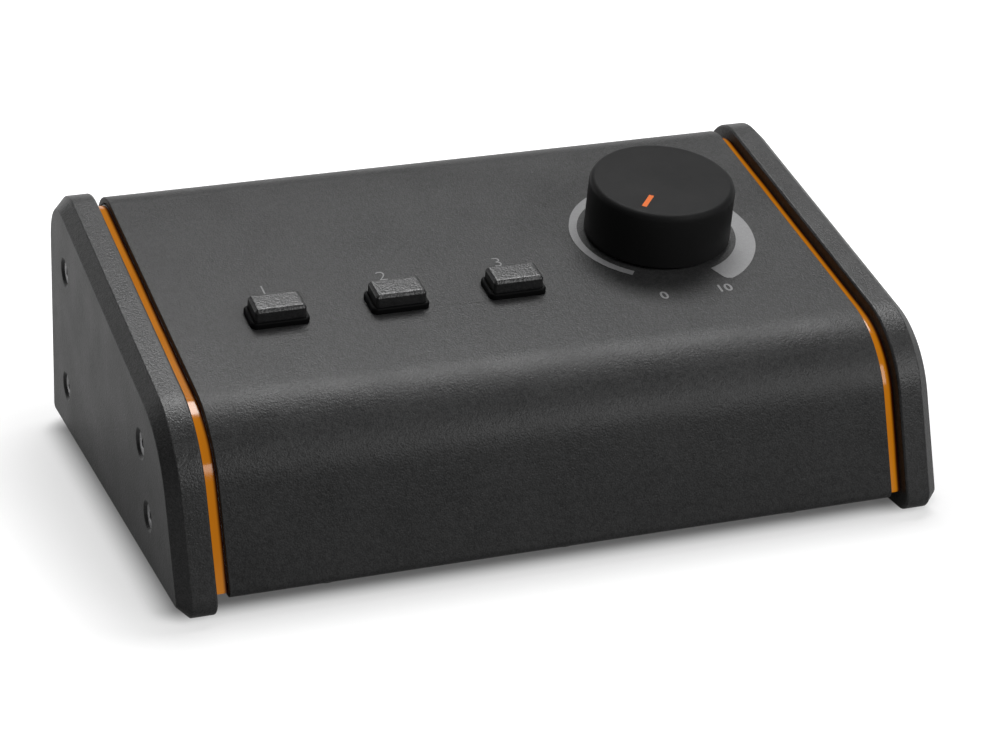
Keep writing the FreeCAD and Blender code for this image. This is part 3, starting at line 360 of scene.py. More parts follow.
def make_amber_acrylic():
    """Cast amber sheet with painted light: a painted glow stands in for the light its polished edge carries, and
    painted shade sinks it to deep red near one face.
    """
    material, tree, shader = new_material("amber_acrylic")
    point = object_point(tree)
    skin = moulded(tree, point, 0.6 * mm)
    place = add(tree, "ShaderNodeSeparateXYZ", {0: point}).outputs["X"]
    on_right = math_node(tree, "GREATER_THAN", place, 0.0)
    near_face = ranged(tree, on_right, 0.0, 1.0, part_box("left_accent_plate")[0].x,
                       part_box("right_accent_plate")[0].x)
    across = difference(tree, place, near_face)
    waver = product(tree, skin.outputs["Flow"], 0.3 * mm)
    # Painted shade: from about 2.1 mm to 2.95 mm across the sheet it turns deep red, where the dark side of its
    # groove would show through.
    painted_shade_share = eased_range(tree, total(tree, across, waver), 2.1 * mm, 2.95 * mm, 0.0, 1.0)
    painted_shade_body, painted_shade_glow = (0.010, 0.0015, 0.0003, 1.0), (0.012, 0.0012, 0.0001, 1.0)
    body = blended(tree, skin.outputs["Flow"], (0.11, 0.034, 0.0008, 1.0), (0.14, 0.045, 0.0012, 1.0))
    # Painted glow: the sheet gives out orange light of its own, though it is no lamp.
    painted_glow = blended(tree, skin.outputs["Flow"], (0.34, 0.108, 0.0025, 1.0), (0.41, 0.138, 0.0040, 1.0))
    fill_shader(tree, shader, blended(tree, painted_shade_share, body, painted_shade_body), skin.outputs["Flow"], (0.08, 0.14),
                skin.outputs["Height"], 0.002 * mm)
    tree.links.new(blended(tree, painted_shade_share, painted_glow, painted_shade_glow), shader.inputs["Emission Color"])
    # The painted glow reaches the eye in full, gloss at 0.4, and diffuse rays not at all.
    path = add(tree, "ShaderNodeLightPath")
    from_gloss = product(tree, path.outputs["Is Glossy Ray"], 0.6)
    withheld = total(tree, path.outputs["Is Diffuse Ray"], from_gloss)
    painted_glow_strength = math_node(tree, "SUBTRACT", 1.0, withheld, clamp=True)
    tree.links.new(painted_glow_strength, shader.inputs["Emission Strength"])
    shader.inputs["IOR"].default_value = 1.49
    finishes["amber_acrylic"] = material


def make_board_green():
    """Solder mask over copper: square-cornered tracks show as paler, slightly raised bands."""
    material, tree, shader = new_material("board_green")
    cell_size = 3.2 * mm
    point = object_point(tree, tilt)
    nearest, second = (
        add(tree, "ShaderNodeTexVoronoi", {"Vector": point, "Scale": 1 / cell_size, "Randomness": 0.85},
            feature=feature, distance="MANHATTAN").outputs["Distance"] for feature in ("F1", "F2"))
    track = ranged(tree, difference(tree, second, nearest), 0.10, 0.14, 1.0, 0.0)
    skin = moulded(tree, point, 0.5 * mm)
    mask = blended(tree, skin.outputs["Flow"], (0.010, 0.105, 0.045, 1.0), (0.014, 0.135, 0.058, 1.0))
    base = blended(tree, track, mask, (0.035, 0.26, 0.11, 1.0))
    fill_shader(tree, shader, base, skin.outputs["Flow"], (0.25, 0.4), track, 0.03 * mm)
    finishes["board_green"] = material


def make_track_resin():
    """Brown phenolic with fine paper fibres and dark carbon rings printed round the axis."""
    material, tree, shader = new_material("track_resin")
    point = object_point(tree, tilt, tuple(knob_place.translation))
    ring_reach, ring_half_width = 5.6 * mm, 0.9 * mm
    skin = moulded(tree, point, 0.3 * mm)
    flat = add(tree, "ShaderNodeVectorMath", {0: point, 1: (1.0, 1.0, 0.0)}, operation="MULTIPLY")
    reach = add(tree, "ShaderNodeVectorMath", {0: flat.outputs[0]}, operation="LENGTH").outputs["Value"]
    ring = math_node(tree, "COMPARE", reach, ring_reach, ring_half_width)
    body = blended(tree, skin.outputs["Shade"], (0.10, 0.052, 0.026, 1.0), (0.16, 0.090, 0.045, 1.0))
    base = blended(tree, ring, body, (0.012, 0.012, 0.013, 1.0))
    fill_shader(tree, shader, base, skin.outputs["Flow"], (0.45, 0.6), skin.outputs["Height"], 0.01 * mm)
    finishes["track_resin"] = material


def make_resistor_blue():
    """Blue lacquer with five colour bands between tinned leads, by distance along the body."""
    material, tree, shader = new_material("resistor_blue")
    half_length = 3.15 * mm
    low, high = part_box("pad_resistors")
    point = object_point(tree, tilt, tuple((low + high) / 2))
    along = add(tree, "ShaderNodeSeparateXYZ", {0: point}).outputs["Y"]
    place = ranged(tree, along, -half_length, half_length, 0.0, 1.0)
    ramp = add(tree, "ShaderNodeValToRGB", {"Fac": place})
    ramp.color_ramp.interpolation = "CONSTANT"
    stops = ramp.color_ramp.elements
    # Each band's colour starts at its place, and so does the lacquer in the gap before it.
    lacquer, brown = (0.20, 0.42, 0.58, 1.0), (0.12, 0.035, 0.012, 1.0)
    black, red = (0.01, 0.01, 0.01, 1.0), (0.45, 0.02, 0.01, 1.0)
    stops[0].color = lacquer
    stops[1].position, stops[1].color = 0.12, brown
    later_bands = ((0.20, 0.30, black), (0.38, 0.47, black), (0.55, 0.64, red), (0.72, 0.82, brown))
    for gap, band, colour in later_bands:
        stops.new(gap).color = lacquer
        stops.new(band).color = colour
    stops.new(0.90).color = lacquer
    lead = math_node(tree, "GREATER_THAN", math_node(tree, "ABSOLUTE", along), half_length + 0.01 * mm)
    skin = moulded(tree, point, 0.3 * mm)
    base = blended(tree, lead, ramp.outputs[0], (0.62, 0.62, 0.63, 1.0))
    fill_shader(tree, shader, base, skin.outputs["Flow"], (0.22, 0.34), skin.outputs["Height"], 0.008 * mm)
    tree.links.new(lead, shader.inputs["Metallic"])
    finishes["resistor_blue"] = material


def make_ribbon_grey():
    """Flat cable: round conductors side by side, one edge marked red."""
    material, tree, shader = new_material("ribbon_grey")
    point = object_point(tree)
    pitch, marked_from = 1.27 * mm, -6.35 * mm
    across = add(tree, "ShaderNodeSeparateXYZ", {0: point}).outputs["X"]
    ridge = math_node(tree, "ABSOLUTE", math_node(tree, "SINE", product(tree, across, math.pi / pitch)))
    skin = moulded(tree, point, 0.4 * mm)
    # Painted shade: the grooves between the conductors are a darker grey than their crests.
    body = blended(tree, ridge, (0.25, 0.25, 0.26, 1.0), (0.40, 0.40, 0.41, 1.0))
    marked = math_node(tree, "LESS_THAN", across, marked_from)
    base = blended(tree, marked, body, (0.45, 0.03, 0.02, 1.0))
    fill_shader(tree, shader, base, skin.outputs["Flow"], (0.4, 0.5), ridge, 0.3 * mm)
    finishes["ribbon_grey"] = material


for make in (make_amber_acrylic, make_board_green, make_track_resin, make_resistor_blue, make_ribbon_grey):
    make()


# ---------------------------------------------------------------- mesh work

def body_of(node):
    return next(body for body, nodes in frame["record"]["behaviour"]["bodies"].items() if node in nodes)


def new_piece(name, mesh, body, slot, material=None):
    piece = bpy.data.objects.new(name, mesh)
    bpy.context.scene.collection.objects.link(piece)
    if material or not mesh.materials:
        mesh.materials.clear()
        mesh.materials.append(material or finishes[slot])
    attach(piece, body)
    return piece


def smoothed(mesh, angle=32.0):
    """Smooth shading that stops at edges sharper than this."""
    for face in mesh.polygons:
        face.use_smooth = True
    mesh.set_sharp_from_angle(angle=math.radians(angle))
    return mesh


def welded_mesh(node):
    """A closed copy of a node's mesh, its flat faces joined up again."""
    shape = bmesh.new()
    shape.from_mesh(frame["nodes"][node].data)
    bmesh.ops.remove_doubles(shape, verts=shape.verts, dist=0.5e-6)
    bmesh.ops.dissolve_limit(shape, angle_limit=math.radians(0.05), verts=shape.verts, edges=shape.edges)
    mesh = bpy.data.meshes.new(node + "_shape")
    shape.to_mesh(mesh)
    shape.free()
    normals = mesh.attributes.get("custom_normal")
    if normals:
        mesh.attributes.remove(normals)
    return mesh


def dress(node, name, ease):
    """A welded, smooth-shaded copy of a node that stands for it, its sharp edges eased."""
    piece = new_piece(name, smoothed(welded_mesh(node)), body_of(node), slot_of[node])
    if ease:
        bevel = piece.modifiers.new("edge_ease", "BEVEL")
        bevel.width = ease
        bevel.segments = 2
        bevel.limit_method = "ANGLE"
        bevel.angle_limit = math.radians(40.0)
        bevel.use_clamp_overlap = False
        bevel.harden_normals = True
        bevel.miter_outer = "MITER_ARC"
    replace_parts(piece, node)
    return piece


key_numbers = (1, 2, 3)
edge_ease = {
    "top_shell": 0.25 * mm, "left_side_plate": 0.22 * mm, "right_side_plate": 0.22 * mm,
    "left_accent_plate": 0.12 * mm, "right_accent_plate": 0.12 * mm
}
dressed_names = {
    "top_shell": "folded_shell",
    "left_side_plate": "left_cheek",
    "right_side_plate": "right_cheek",
    "left_accent_plate": "left_amber_sheet",
    "right_accent_plate": "right_amber_sheet",
    "chassis_tray": "inner_tray",
    "volume_knob": "volume_knob_body",
    "knob_insert": "knob_bush",
    "left_output_socket": "left_output_shell",
    "right_output_socket": "right_output_shell",
    "left_input_socket": "left_input_shell",
    "right_input_socket": "right_input_shell",
    "output_inserts": "output_pin_carriers",
    "input_inserts": "input_jack_cores",
    "output_pins": "output_contact_pins",
    "input_contacts": "input_contact_tubes",
    "rubber_feet": "desk_feet",
    "mini_jack": "mini_jack_barrel",
    "side_clinch_nuts": "side_press_nuts",
    "base_clinch_nuts": "base_press_nuts",
    "panel_standoffs": "board_pillars",
    "pot_case": "pot_can_body",
    "pot_bushing": "pot_neck",
    "pot_nut": "pot_hex_nut",
    "pot_washer": "pot_flat_washer",
    "pot_shaft": "pot_spindle",
    "pot_tracks": "pot_track_wafers",
    "pot_wipers": "pot_wiper_arms",
    "pot_back_cover": "pot_rear_wafer",
    "pad_resistors": "pad_resistor_row",
}
for i in key_numbers:
    dressed_names["button_bezel_%d" % i] = "key_bezel_%d" % i
for node, name in dressed_names.items():
    dress(node, name, edge_ease.get(node, 0.0))

for node, model in frame["nodes"].items():
    for place in model.material_slots:
        place.material = finishes[slot_of[node]]


# ---------------------------------------------------------------- key caps and the knob's pointer

def solid_box(node, place):
    """The lowest and highest corner of a node in a placement's own directions."""
    turn_back = place.inverted()
    corners = [turn_back @ corner.co for corner in frame["nodes"][node].data.vertices]
    return [Vector([pick(corner[i] for corner in corners) for i in range(3)]) for pick in (min, max)]


def rounded_ring(middle, half, corner, height, steps=5):
    """Points round a rectangle whose corners are rounded, at one height."""
    points = []
    for turn, (across, along) in enumerate(((1, 1), (-1, 1), (-1, -1), (1, -1))):
        for step in range(steps + 1):
            angle = (turn + step / steps) * math.pi / 2
            points.append((middle.x + across * (half.x - corner) + corner * math.cos(angle),
                           middle.y + along * (half.y - corner) + corner * math.sin(angle), height))
    return points


def ringed_piece(name, rings, place, node):
    """A closed block through rings of points, its first and last ring filled flat."""
    shape = bmesh.new()
    rows = [[shape.verts.new(point) for point in ring] for ring in rings]
    for before, after in zip(rows, rows[1:]):
        for i in range(len(before)):
            shape.faces.new((before[i - 1], before[i], after[i], after[i - 1]))
    shape.faces.new(rows[0])
    shape.faces.new(rows[-1])
    bmesh.ops.recalc_face_normals(shape, faces=shape.faces)
    shape.transform(place)
    mesh = bpy.data.meshes.new(name)
    shape.to_mesh(mesh)
    shape.free()
    piece = new_piece(name, smoothed(mesh), body_of(node), slot_of[node])
    evened = piece.modifiers.new("flat_faces_even", "WEIGHTED_NORMAL")
    evened.keep_sharp = True
    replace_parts(piece, node)
    return piece


def eased_corner(before, corner, after, leave, join, steps=5):
    """Points on a soft bend that leaves one straight run and joins the next."""
    corner = Vector(corner)
    start = corner + (Vector(before) - corner).normalized() * leave
    end = corner + (Vector(after) - corner).normalized() * join
    return [start.lerp(corner, step / steps).lerp(corner.lerp(end, step / steps), step / steps)
            for step in range(steps + 1)]


def key_cap(i):
    """A key: straight skirt, chamfered top with eased edges, and a pocket for the switch's stem."""
    node = "button_cap_%d" % i
    low, high = solid_box(node, panel_place)
    middle, half = (low + high) / 2, (high - low) / 2
    chamfer, corner, tightest_corner = 0.7 * mm, 0.8 * mm, 0.1 * mm
    stem_pocket, pocket_top = 1.65 * mm, 1.4 * mm
    foot, shoulder = (0.0, low.z), (0.0, high.z - chamfer)
    rim, flat = (chamfer, high.z), (half.y, high.z)
    profile = [foot] + eased_corner(foot, shoulder, rim, 0.12 * mm, 0.30 * mm)
    profile += eased_corner(shoulder, rim, flat, 0.16 * mm, 0.55 * mm)
    pocket = Vector((stem_pocket, stem_pocket))
    rings = [rounded_ring(middle, pocket, tightest_corner, height) for height in (pocket_top, low.z)]
    for inset, height in profile:
        inner = Vector((half.x - inset, half.y - inset))
        rings.append(rounded_ring(middle, inner, max(corner - inset, tightest_corner), height))
    return ringed_piece("key_cap_%d" % i, rings, panel_place, node)


def knob_pointer():
    """A square-ended bar let into the knob's face, its edges just broken."""
    start_angle, width, edge, corner = -130.0, 1.2 * mm, 0.05 * mm, 0.15 * mm
    inner_reach, outer_reach = 8.2 * mm, 13.8 * mm
    place = knob_place @ Matrix.Rotation(math.radians(start_angle), 4, "Z")
    low, high = solid_box("knob_pointer", place)
    middle = Vector(((inner_reach + outer_reach) / 2, 0.0, 0.0))
    half = Vector(((outer_reach - inner_reach) / 2, width / 2))
    foot, rim, flat = (0.0, low.z), (0.0, high.z), (half.y, high.z)
    rings = []
    for inset, height in [foot] + eased_corner(foot, rim, flat, edge, edge, 2):
        inner = Vector((half.x - inset, half.y - inset))
        rings.append(rounded_ring(middle, inner, corner, height, 3))
    return ringed_piece("knob_pointer_inlay", rings, place, "knob_pointer")


for i in key_numbers:
    key_cap(i)
knob_pointer()


# ---------------------------------------------------------------- grown pieces: screws, ring nut, springs

def picked(tree, row, values):
    """The value of a row, from a list of sockets and numbers."""
    switch = add(tree, "GeometryNodeIndexSwitch", {"Index": row}, data_type="FLOAT")
    while len(switch.index_switch_items) < len(values):
        switch.index_switch_items.new()
    for place, value in enumerate(values, start=1):
        if isinstance(value, bpy.types.NodeSocket):
            tree.links.new(value, switch.inputs[place])
        else:
            switch.inputs[place].default_value = value
    return switch.outputs[0]


def turned(tree, corners, around, shaped=(), factor=None):
    """A closed shape turned about z, from (radius, depth) corners that run from its outer end inwards.

    Rows in shaped have their radius multiplied by factor(turn), as a hexagon's or a knurl's is."""
    columns = around + 1
    grid = add(tree, "GeometryNodeMeshGrid", {"Vertices X": len(corners), "Vertices Y": columns})
    index = add(tree, "GeometryNodeInputIndex").outputs[0]
    row = math_node(tree, "FLOOR", quotient(tree, total(tree, index, 0.5), float(columns)))
    column = difference(tree, index, product(tree, row, float(columns)))
    turn = product(tree, column, 2 * math.pi / around)
    radius = picked(tree, row, [corner[0] for corner in corners])
    depth = picked(tree, row, [corner[1] for corner in corners])
    if factor:
        share = picked(tree, row, [1.0 if place in shaped else 0.0 for place in range(len(corners))])
        change = product(tree, share, difference(tree, factor(turn), 1.0))
        radius = product(tree, radius, total(tree, change, 1.0))
    point = add(tree, "ShaderNodeCombineXYZ", {
        0: product(tree, radius, math_node(tree, "COSINE", turn)),
        1: product(tree, radius, math_node(tree, "SINE", turn)),
        2: product(tree, depth, -1.0)}).outputs[0]
    placed = add(tree, "GeometryNodeSetPosition", {"Geometry": grid.outputs["Mesh"], "Position": point})
    return add(tree, "GeometryNodeMergeByDistance",
               {"Geometry": placed.outputs[0], "Distance": 0.002 * mm}).outputs[0]


def round_edge(tree, radius, edge, depth, steps=5):
    """Corners round an outer edge: the quarter circle that starts on the flat end."""
    corners = []
    for step in range(steps + 1):
        turn = math.pi / 2 * step / steps
        corners.append((total(tree, radius, product(tree, edge, math.sin(turn) - 1)),
                        total(tree, depth, product(tree, edge, 1 - math.cos(turn)))))
    return corners


def planted(tree, taken, given, shape):
    """The shape on each seat, its z along the seat's outward arrow, turned at random about it."""
    outward = add(tree, "GeometryNodeInputNamedAttribute", {"Name": "outward"}, data_type="FLOAT_VECTOR")
    aimed = add(tree, "FunctionNodeAlignRotationToVector", {"Vector": outward.outputs[0]}, axis="Z")
    spin = add(tree, "FunctionNodeRandomValue", {"Seed": taken["Turn Seed"], 2: 0.0, 3: 2 * math.pi},
               data_type="FLOAT")
    turned_by = add(tree, "FunctionNodeAxisAngleToRotation",
                    {"Axis": (0.0, 0.0, 1.0), "Angle": spin.outputs[1]})
    facing = add(tree, "FunctionNodeRotateRotation", {0: aimed.outputs[0], 1: turned_by.outputs[0]},
                 rotation_space="LOCAL")
    copies = add(tree, "GeometryNodeInstanceOnPoints", {
        "Points": taken["Geometry"], "Instance": shape, "Rotation": facing.outputs[0]})
    real = add(tree, "GeometryNodeRealizeInstances", {"Geometry": copies.outputs[0]})
    painted = add(tree, "GeometryNodeSetMaterial",
                  {"Geometry": real.outputs[0], "Material": taken["Finish"]})
    tree.links.new(painted.outputs[0], given["Geometry"])
    return tree


def growing_tree(name, sizes):
    """A Geometry Nodes tree that grows on seat points, with a named input for each size."""
    takes = {"Geometry": ("Geometry", None)}
    takes.update({label: ("Float", value) for label, value in sizes.items()})
    takes.update({"Turn Seed": ("Int", 1), "Finish": ("Material", None)})
    return group_tree(name, "GeometryNodeTree", takes, {"Geometry": "Geometry"})


def sixth_turn(tree):
    """How far a hexagon's side stands out from its inner circle, by the turn."""
    def factor(turn):
        off_middle = difference(tree, math_node(tree, "MODULO", turn, math.pi / 3), math.pi / 6)
        return quotient(tree, 1.0, math_node(tree, "COSINE", off_middle))
    return factor


def make_socket_screw():
    """A hexagon socket screw: head flat, domed or countersunk, rolled thread, turned tip."""
    tree, taken, given = growing_tree("socket_screw", {
        "Head Radius": 2.8 * mm, "Head Edge": 0.3 * mm, "Head Side": 0.2 * mm, "Cone": 0.0,
        "Socket Width": 2.0 * mm, "Socket Depth": 1.3 * mm, "Shank Radius": 1.5 * mm,
        "Length": 8.0 * mm, "Thread Pitch": 0.5 * mm})
    mouth_flare, mouth_depth, thread_depth, ridge_radius = 0.12 * mm, 0.14 * mm, 0.22 * mm, 0.21 * mm
    plain_neck, tip_length, tip_taper = 0.5 * mm, 0.5 * mm, 0.45 * mm
    flats = product(tree, taken["Socket Width"], 0.5)
    mouth = total(tree, product(tree, flats, 1 / math.cos(math.pi / 6)), mouth_flare)
    core = total(tree, taken["Shank Radius"], -thread_depth)
    under_head = total(tree, taken["Head Edge"], taken["Head Side"])
    under_cone = total(tree, under_head, taken["Cone"])
    tip = total(tree, taken["Length"], -tip_length)
    corners = [(0.0, taken["Socket Depth"]), (flats, taken["Socket Depth"]), (flats, mouth_depth),
               (mouth, 0.0)]
    corners += round_edge(tree, taken["Head Radius"], taken["Head Edge"], 0.0)
    corners += [(taken["Head Radius"], under_head), (core, under_cone), (core, tip),
                (total(tree, core, -tip_taper), taken["Length"]), (0.0, taken["Length"])]
    bolt = turned(tree, corners, 48, shaped=(1, 2), factor=sixth_turn(tree))

    threaded = difference(tree, tip, total(tree, under_cone, plain_neck))
    helix = add(tree, "GeometryNodeCurveSpiral", {
        "Resolution": 20, "Rotations": quotient(tree, threaded, taken["Thread Pitch"]),
        "Start Radius": core, "End Radius": core, "Height": threaded})
    upright = add(tree, "GeometryNodeSetCurveNormal", {"Curve": helix.outputs[0]}, mode="Z_UP")
    ridge = add(tree, "GeometryNodeCurvePrimitiveCircle", {"Resolution": 4, "Radius": ridge_radius},
                mode="RADIUS")
    thread = add(tree, "GeometryNodeCurveToMesh", {
        "Curve": upright.outputs[0], "Profile Curve": ridge.outputs[0], "Fill Caps": True})
    drop = add(tree, "ShaderNodeCombineXYZ", {2: product(tree, tip, -1.0)}).outputs[0]
    seated = add(tree, "GeometryNodeTransform", {"Geometry": thread.outputs[0], "Translation": drop})
    both = add(tree, "GeometryNodeJoinGeometry", {"Geometry": bolt})
    tree.links.new(seated.outputs[0], both.inputs[0])
    return planted(tree, taken, given, both.outputs[0])


def make_ring_nut():
    """A round nut, its rim cut with straight flutes for the fingers."""
    tree, taken, given = growing_tree("ring_nut", {
        "Outer Radius": 4.0 * mm, "Bore Radius": 3.0 * mm, "Height": 1.8 * mm, "Edge": 0.25 * mm,
        "Flute Depth": 0.05})
    flutes, steps = 32, 4

    def fluted(turn):
        wave = math_node(tree, "ABSOLUTE", math_node(tree, "SINE", product(tree, turn, flutes / 2)))
        return difference(tree, 1.0, product(tree, wave, taken["Flute Depth"]))

    rim = round_edge(tree, taken["Outer Radius"], taken["Edge"], 0.0, 3)
    foot = [(radius, difference(tree, taken["Height"], depth)) for radius, depth in reversed(rim)]
    bore = [(taken["Bore Radius"], taken["Height"]), (taken["Bore Radius"], 0.0)]
    corners = bore[1:] + rim + foot + bore
    fluted_rows = range(2, len(rim) + len(foot))
    return planted(tree, taken, given,
                   turned(tree, corners, flutes * steps, shaped=fluted_rows, factor=fluted))


def make_coil_spring():
    """A compression spring of round wire, its end turns closed flat; it stands below its seat point."""
    tree, taken, given = growing_tree("coil_spring", {
        "Coil Radius": 2.0 * mm, "Wire Radius": 0.2 * mm, "Turns": 5.0, "Height": 6.0 * mm})
    wire = product(tree, taken["Wire Radius"], 2.0)
    turns = total(tree, taken["Turns"], 2.0)
    helix = add(tree, "GeometryNodeCurveSpiral", {
        "Resolution": 28, "Rotations": turns, "Start Radius": taken["Coil Radius"],
        "End Radius": taken["Coil Radius"], "Height": turns})
    place = add(tree, "GeometryNodeInputPosition").outputs[0]
    across = add(tree, "ShaderNodeSeparateXYZ", {0: place})
    wound = across.outputs["Z"]
    rise = difference(tree, taken["Height"], product(tree, wire, 3.0))
    pitch = quotient(tree, rise, taken["Turns"])
    open_turns = math_node(tree, "MINIMUM", largest(tree, total(tree, wound, -1.0), 0.0),
                           taken["Turns"])
    closed_turns = difference(tree, wound, open_turns)
    height = total(tree, product(tree, open_turns, pitch), product(tree, closed_turns, wire),
                   taken["Wire Radius"], product(tree, taken["Height"], -1.0))
    point = add(tree, "ShaderNodeCombineXYZ", {0: across.outputs["X"], 1: across.outputs["Y"],
                                               2: height}).outputs[0]
    wound_up = add(tree, "GeometryNodeSetPosition", {"Geometry": helix.outputs[0], "Position": point})
    upright = add(tree, "GeometryNodeSetCurveNormal", {"Curve": wound_up.outputs[0]}, mode="Z_UP")
    section = add(tree, "GeometryNodeCurvePrimitiveCircle",
                  {"Resolution": 10, "Radius": taken["Wire Radius"]}, mode="RADIUS")
    coil = add(tree, "GeometryNodeCurveToMesh", {
        "Curve": upright.outputs[0], "Profile Curve": section.outputs[0], "Fill Caps": True})
    return planted(tree, taken, given, coil.outputs[0])


def solids_of(node):
    """The corners of each separate solid in a node, in a steady order."""
    shape = bmesh.new()
    shape.from_mesh(frame["nodes"][node].data)
    bmesh.ops.remove_doubles(shape, verts=shape.verts, dist=0.5e-6)
    left = set(shape.verts)
    solids = []
    while left:
        reached = [left.pop()]
        solid = []
        while reached:
            corner = reached.pop()
            solid.append(corner.co.copy())
            for edge in corner.link_edges:
                other = edge.other_vert(corner)
                if other in left:
                    left.remove(other)
                    reached.append(other)
        solids.append(solid)
    shape.free()
    return sorted(solids, key=lambda solid: [round(min(corner[i] for corner in solid), 5)
                                             for i in range(3)])


def seat_of(solid, outward):
    """The middle of a round solid's outer end, and the solid's length behind it."""
    first = outward.orthogonal().normalized()
    place = Vector()
    for direction in (first, outward.cross(first)):
        reaches = [corner.dot(direction) for corner in solid]
        place += direction * (min(reaches) + max(reaches)) / 2
    reaches = [corner.dot(outward) for corner in solid]
    return place + outward * max(reaches), max(reaches) - min(reaches)


def grow(name, node, tree, outward, slot, **sizes):
    """One piece for a node of like solids: the tree's shape on each solid's outer end."""
    outward = outward.normalized()
    found = [seat_of(solid, outward) for solid in solids_of(node)]
    seats = bpy.data.meshes.new(name + "_seats")
    seats.from_pydata([place for place, length in found], [], [])
    arrows = seats.attributes.new("outward", "FLOAT_VECTOR", "POINT")
    for arrow in arrows.data:
        arrow.vector = outward
    maker = bpy.data.objects.new(name + "_maker", seats)
    bpy.context.scene.collection.objects.link(maker)
    modifier = maker.modifiers.new("growth", "NODES")
    modifier.node_group = tree
    values = {"Finish": finishes[slot], "Turn Seed": len(name)}
    values.update({label.replace("_", " "): size for label, size in sizes.items()})
    length_label = "Length" if "Length" in tree.interface.items_tree else "Height"
    values.setdefault(length_label, max(length for place, length in found))
    for item in tree.interface.items_tree:
        if item.in_out == "INPUT" and item.name in values:
            modifier[item.identifier] = values[item.name]
    bpy.context.view_layer.update()
    mesh = bpy.data.meshes.new_from_object(maker.evaluated_get(bpy.context.evaluated_depsgraph_get()))
    bpy.data.objects.remove(maker)
    mesh.name = name
    return new_piece(name, smoothed(mesh, 38.0), body_of(node), slot)


socket_screw, ring_nut, coil_spring = make_socket_screw(), make_ring_nut(), make_coil_spring()
countersunk = {"Head_Radius": 2.78 * mm, "Head_Edge": 0.14 * mm, "Head_Side": 0.04 * mm, "Cone": 1.30 * mm}
domed = {"Head_Radius": 2.8 * mm, "Head_Edge": 1.2 * mm, "Head_Side": 0.45 * mm, "Cone": 0.0}
screw_sets = {
    "left_side_screws": ("left_cheek_screws", Vector((-1, 0, 0)), countersunk),
    "right_side_screws": ("right_cheek_screws", Vector((1, 0, 0)), countersunk),
    "base_screws": ("base_dome_screws", Vector((0, 0, -1)), domed),
    "board_screws": ("board_dome_screws", -panel_normal, domed),
    "connector_screws": ("socket_dome_screws", rear_normal, domed),
}
for node, (name, outward, head) in screw_sets.items():
    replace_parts(grow(name, node, socket_screw, outward, slot_of[node], **head), node)
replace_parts(grow("mini_jack_ring_nut", "mini_jack_nut", ring_nut, rear_normal, "nickel_brass",
                 Outer_Radius=4.0 * mm, Bore_Radius=3.02 * mm), "mini_jack_nut")

for i in key_numbers:
    node, press = "switch_spring_%d" % i, "button_%d_press" % i
    top, length = seat_of(solids_of(node)[0], panel_normal)
    spring = grow("return_spring_%d" % i, node, coil_spring, panel_normal, "spring_steel")
    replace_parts(spring, node)
    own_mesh(spring)


# ---------------------------------------------------------------- print on the slope

print_rise = 0.02 * mm
print_film = 0.03 * mm


def film_piece(name, outline_rows, place):
    """A thin film of paint from rows of (inner point, outer point) pairs on the panel."""
    shape = bmesh.new()
    rows = []
    for inner, outer in outline_rows:
        rows.append([shape.verts.new((x, y, z)) for x, y in (inner, outer)
                     for z in (print_rise, print_rise + print_film)])
    for before, after in zip(rows, rows[1:]):
        a0, a1, b0, b1 = before
        c0, c1, d0, d1 = after
        for corners in ((a1, b1, d1, c1), (a0, c0, d0, b0), (a0, a1, c1, c0), (b0, d0, d1, b1)):
            shape.faces.new(corners)
    for a0, a1, b0, b1 in (rows[0], rows[-1]):
        shape.faces.new((a0, b0, b1, a1))
    bmesh.ops.recalc_face_normals(shape, faces=shape.faces)
    shape.transform(place)
    mesh = bpy.data.meshes.new(name)
    shape.to_mesh(mesh)
    shape.free()
    return new_piece(name, mesh, "case", "shell_coat", finishes["paint_print"])


def scale_ring():
    """The level crescent round the knob: an even inner edge, the outer edge growing clockwise."""
    inner, tail_from = 19.0 * mm, -60.0
    growth = ((232.8, 20.8), (155.0, 20.9), (120.0, 21.6), (60.0, 22.3), (13.6, 22.8), (-11.0, 23.3),
              (-38.0, 24.1), (-61.7, 25.05), (-66.0, 24.95), (-68.4, 24.3), (-69.4, 23.4))
    rows = []
    angle = growth[0][0]
    while angle > growth[-1][0]:
        for (a, r0), (b, r1) in zip(growth, growth[1:]):
            if a >= angle >= b:
                share = (a - angle) / (a - b)
                radius = (r0 + (r1 - r0) * share) * mm
                break
        turn = math.radians(angle)
        rows.append(((inner * math.cos(turn), inner * math.sin(turn)),
                     (radius * math.cos(turn), radius * math.sin(turn))))
        angle -= 1.5 if angle > tail_from else 0.4
    return film_piece("volume_level_crescent", rows, knob_place)


def numeral(text, name, centre, height, place, weight):
    """Printed digits, centred on a point of the panel."""
    digit_share = 0.73
    font = bpy.data.curves.new(name, "FONT")
    font.body = text
    font.size = height / digit_share
    font.align_x = "CENTER"
    font.align_y = "CENTER"
    font.extrude = print_film / 2
    font.offset = weight
    font.resolution_u = 4
    letters = bpy.data.objects.new(name + "_text", font)
    bpy.context.scene.collection.objects.link(letters)
    bpy.context.view_layer.update()
    mesh = bpy.data.meshes.new_from_object(letters.evaluated_get(bpy.context.evaluated_depsgraph_get()))
    bpy.data.objects.remove(letters)
    mesh.transform(place @ Matrix.Translation((centre[0], centre[1], print_rise + print_film / 2)))
    mesh.name = name
    return new_piece(name, mesh, "case", "shell_coat", finishes["paint_print"])


scale_ring()
key_number_up, key_number_height, key_number_weight = 49.6 * mm, 4.0 * mm, -0.1 * mm
scale_number_up, scale_number_height, scale_number_weight = -26.6 * mm, 3.0 * mm, 0.06 * mm
for i in key_numbers:
    low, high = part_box("button_cap_%d" % i)
    numeral(str(i), "key_number_%d" % i, ((low.x + high.x) / 2, key_number_up), key_number_height,
            panel_place, key_number_weight)
for text, name, across in (("0", "scale_number_low", -8.5 * mm), ("10", "scale_number_high", 6.5 * mm)):
    numeral(text, name, (across, scale_number_up), scale_number_height, knob_place, scale_number_weight)


# ---------------------------------------------------------------- floor and light

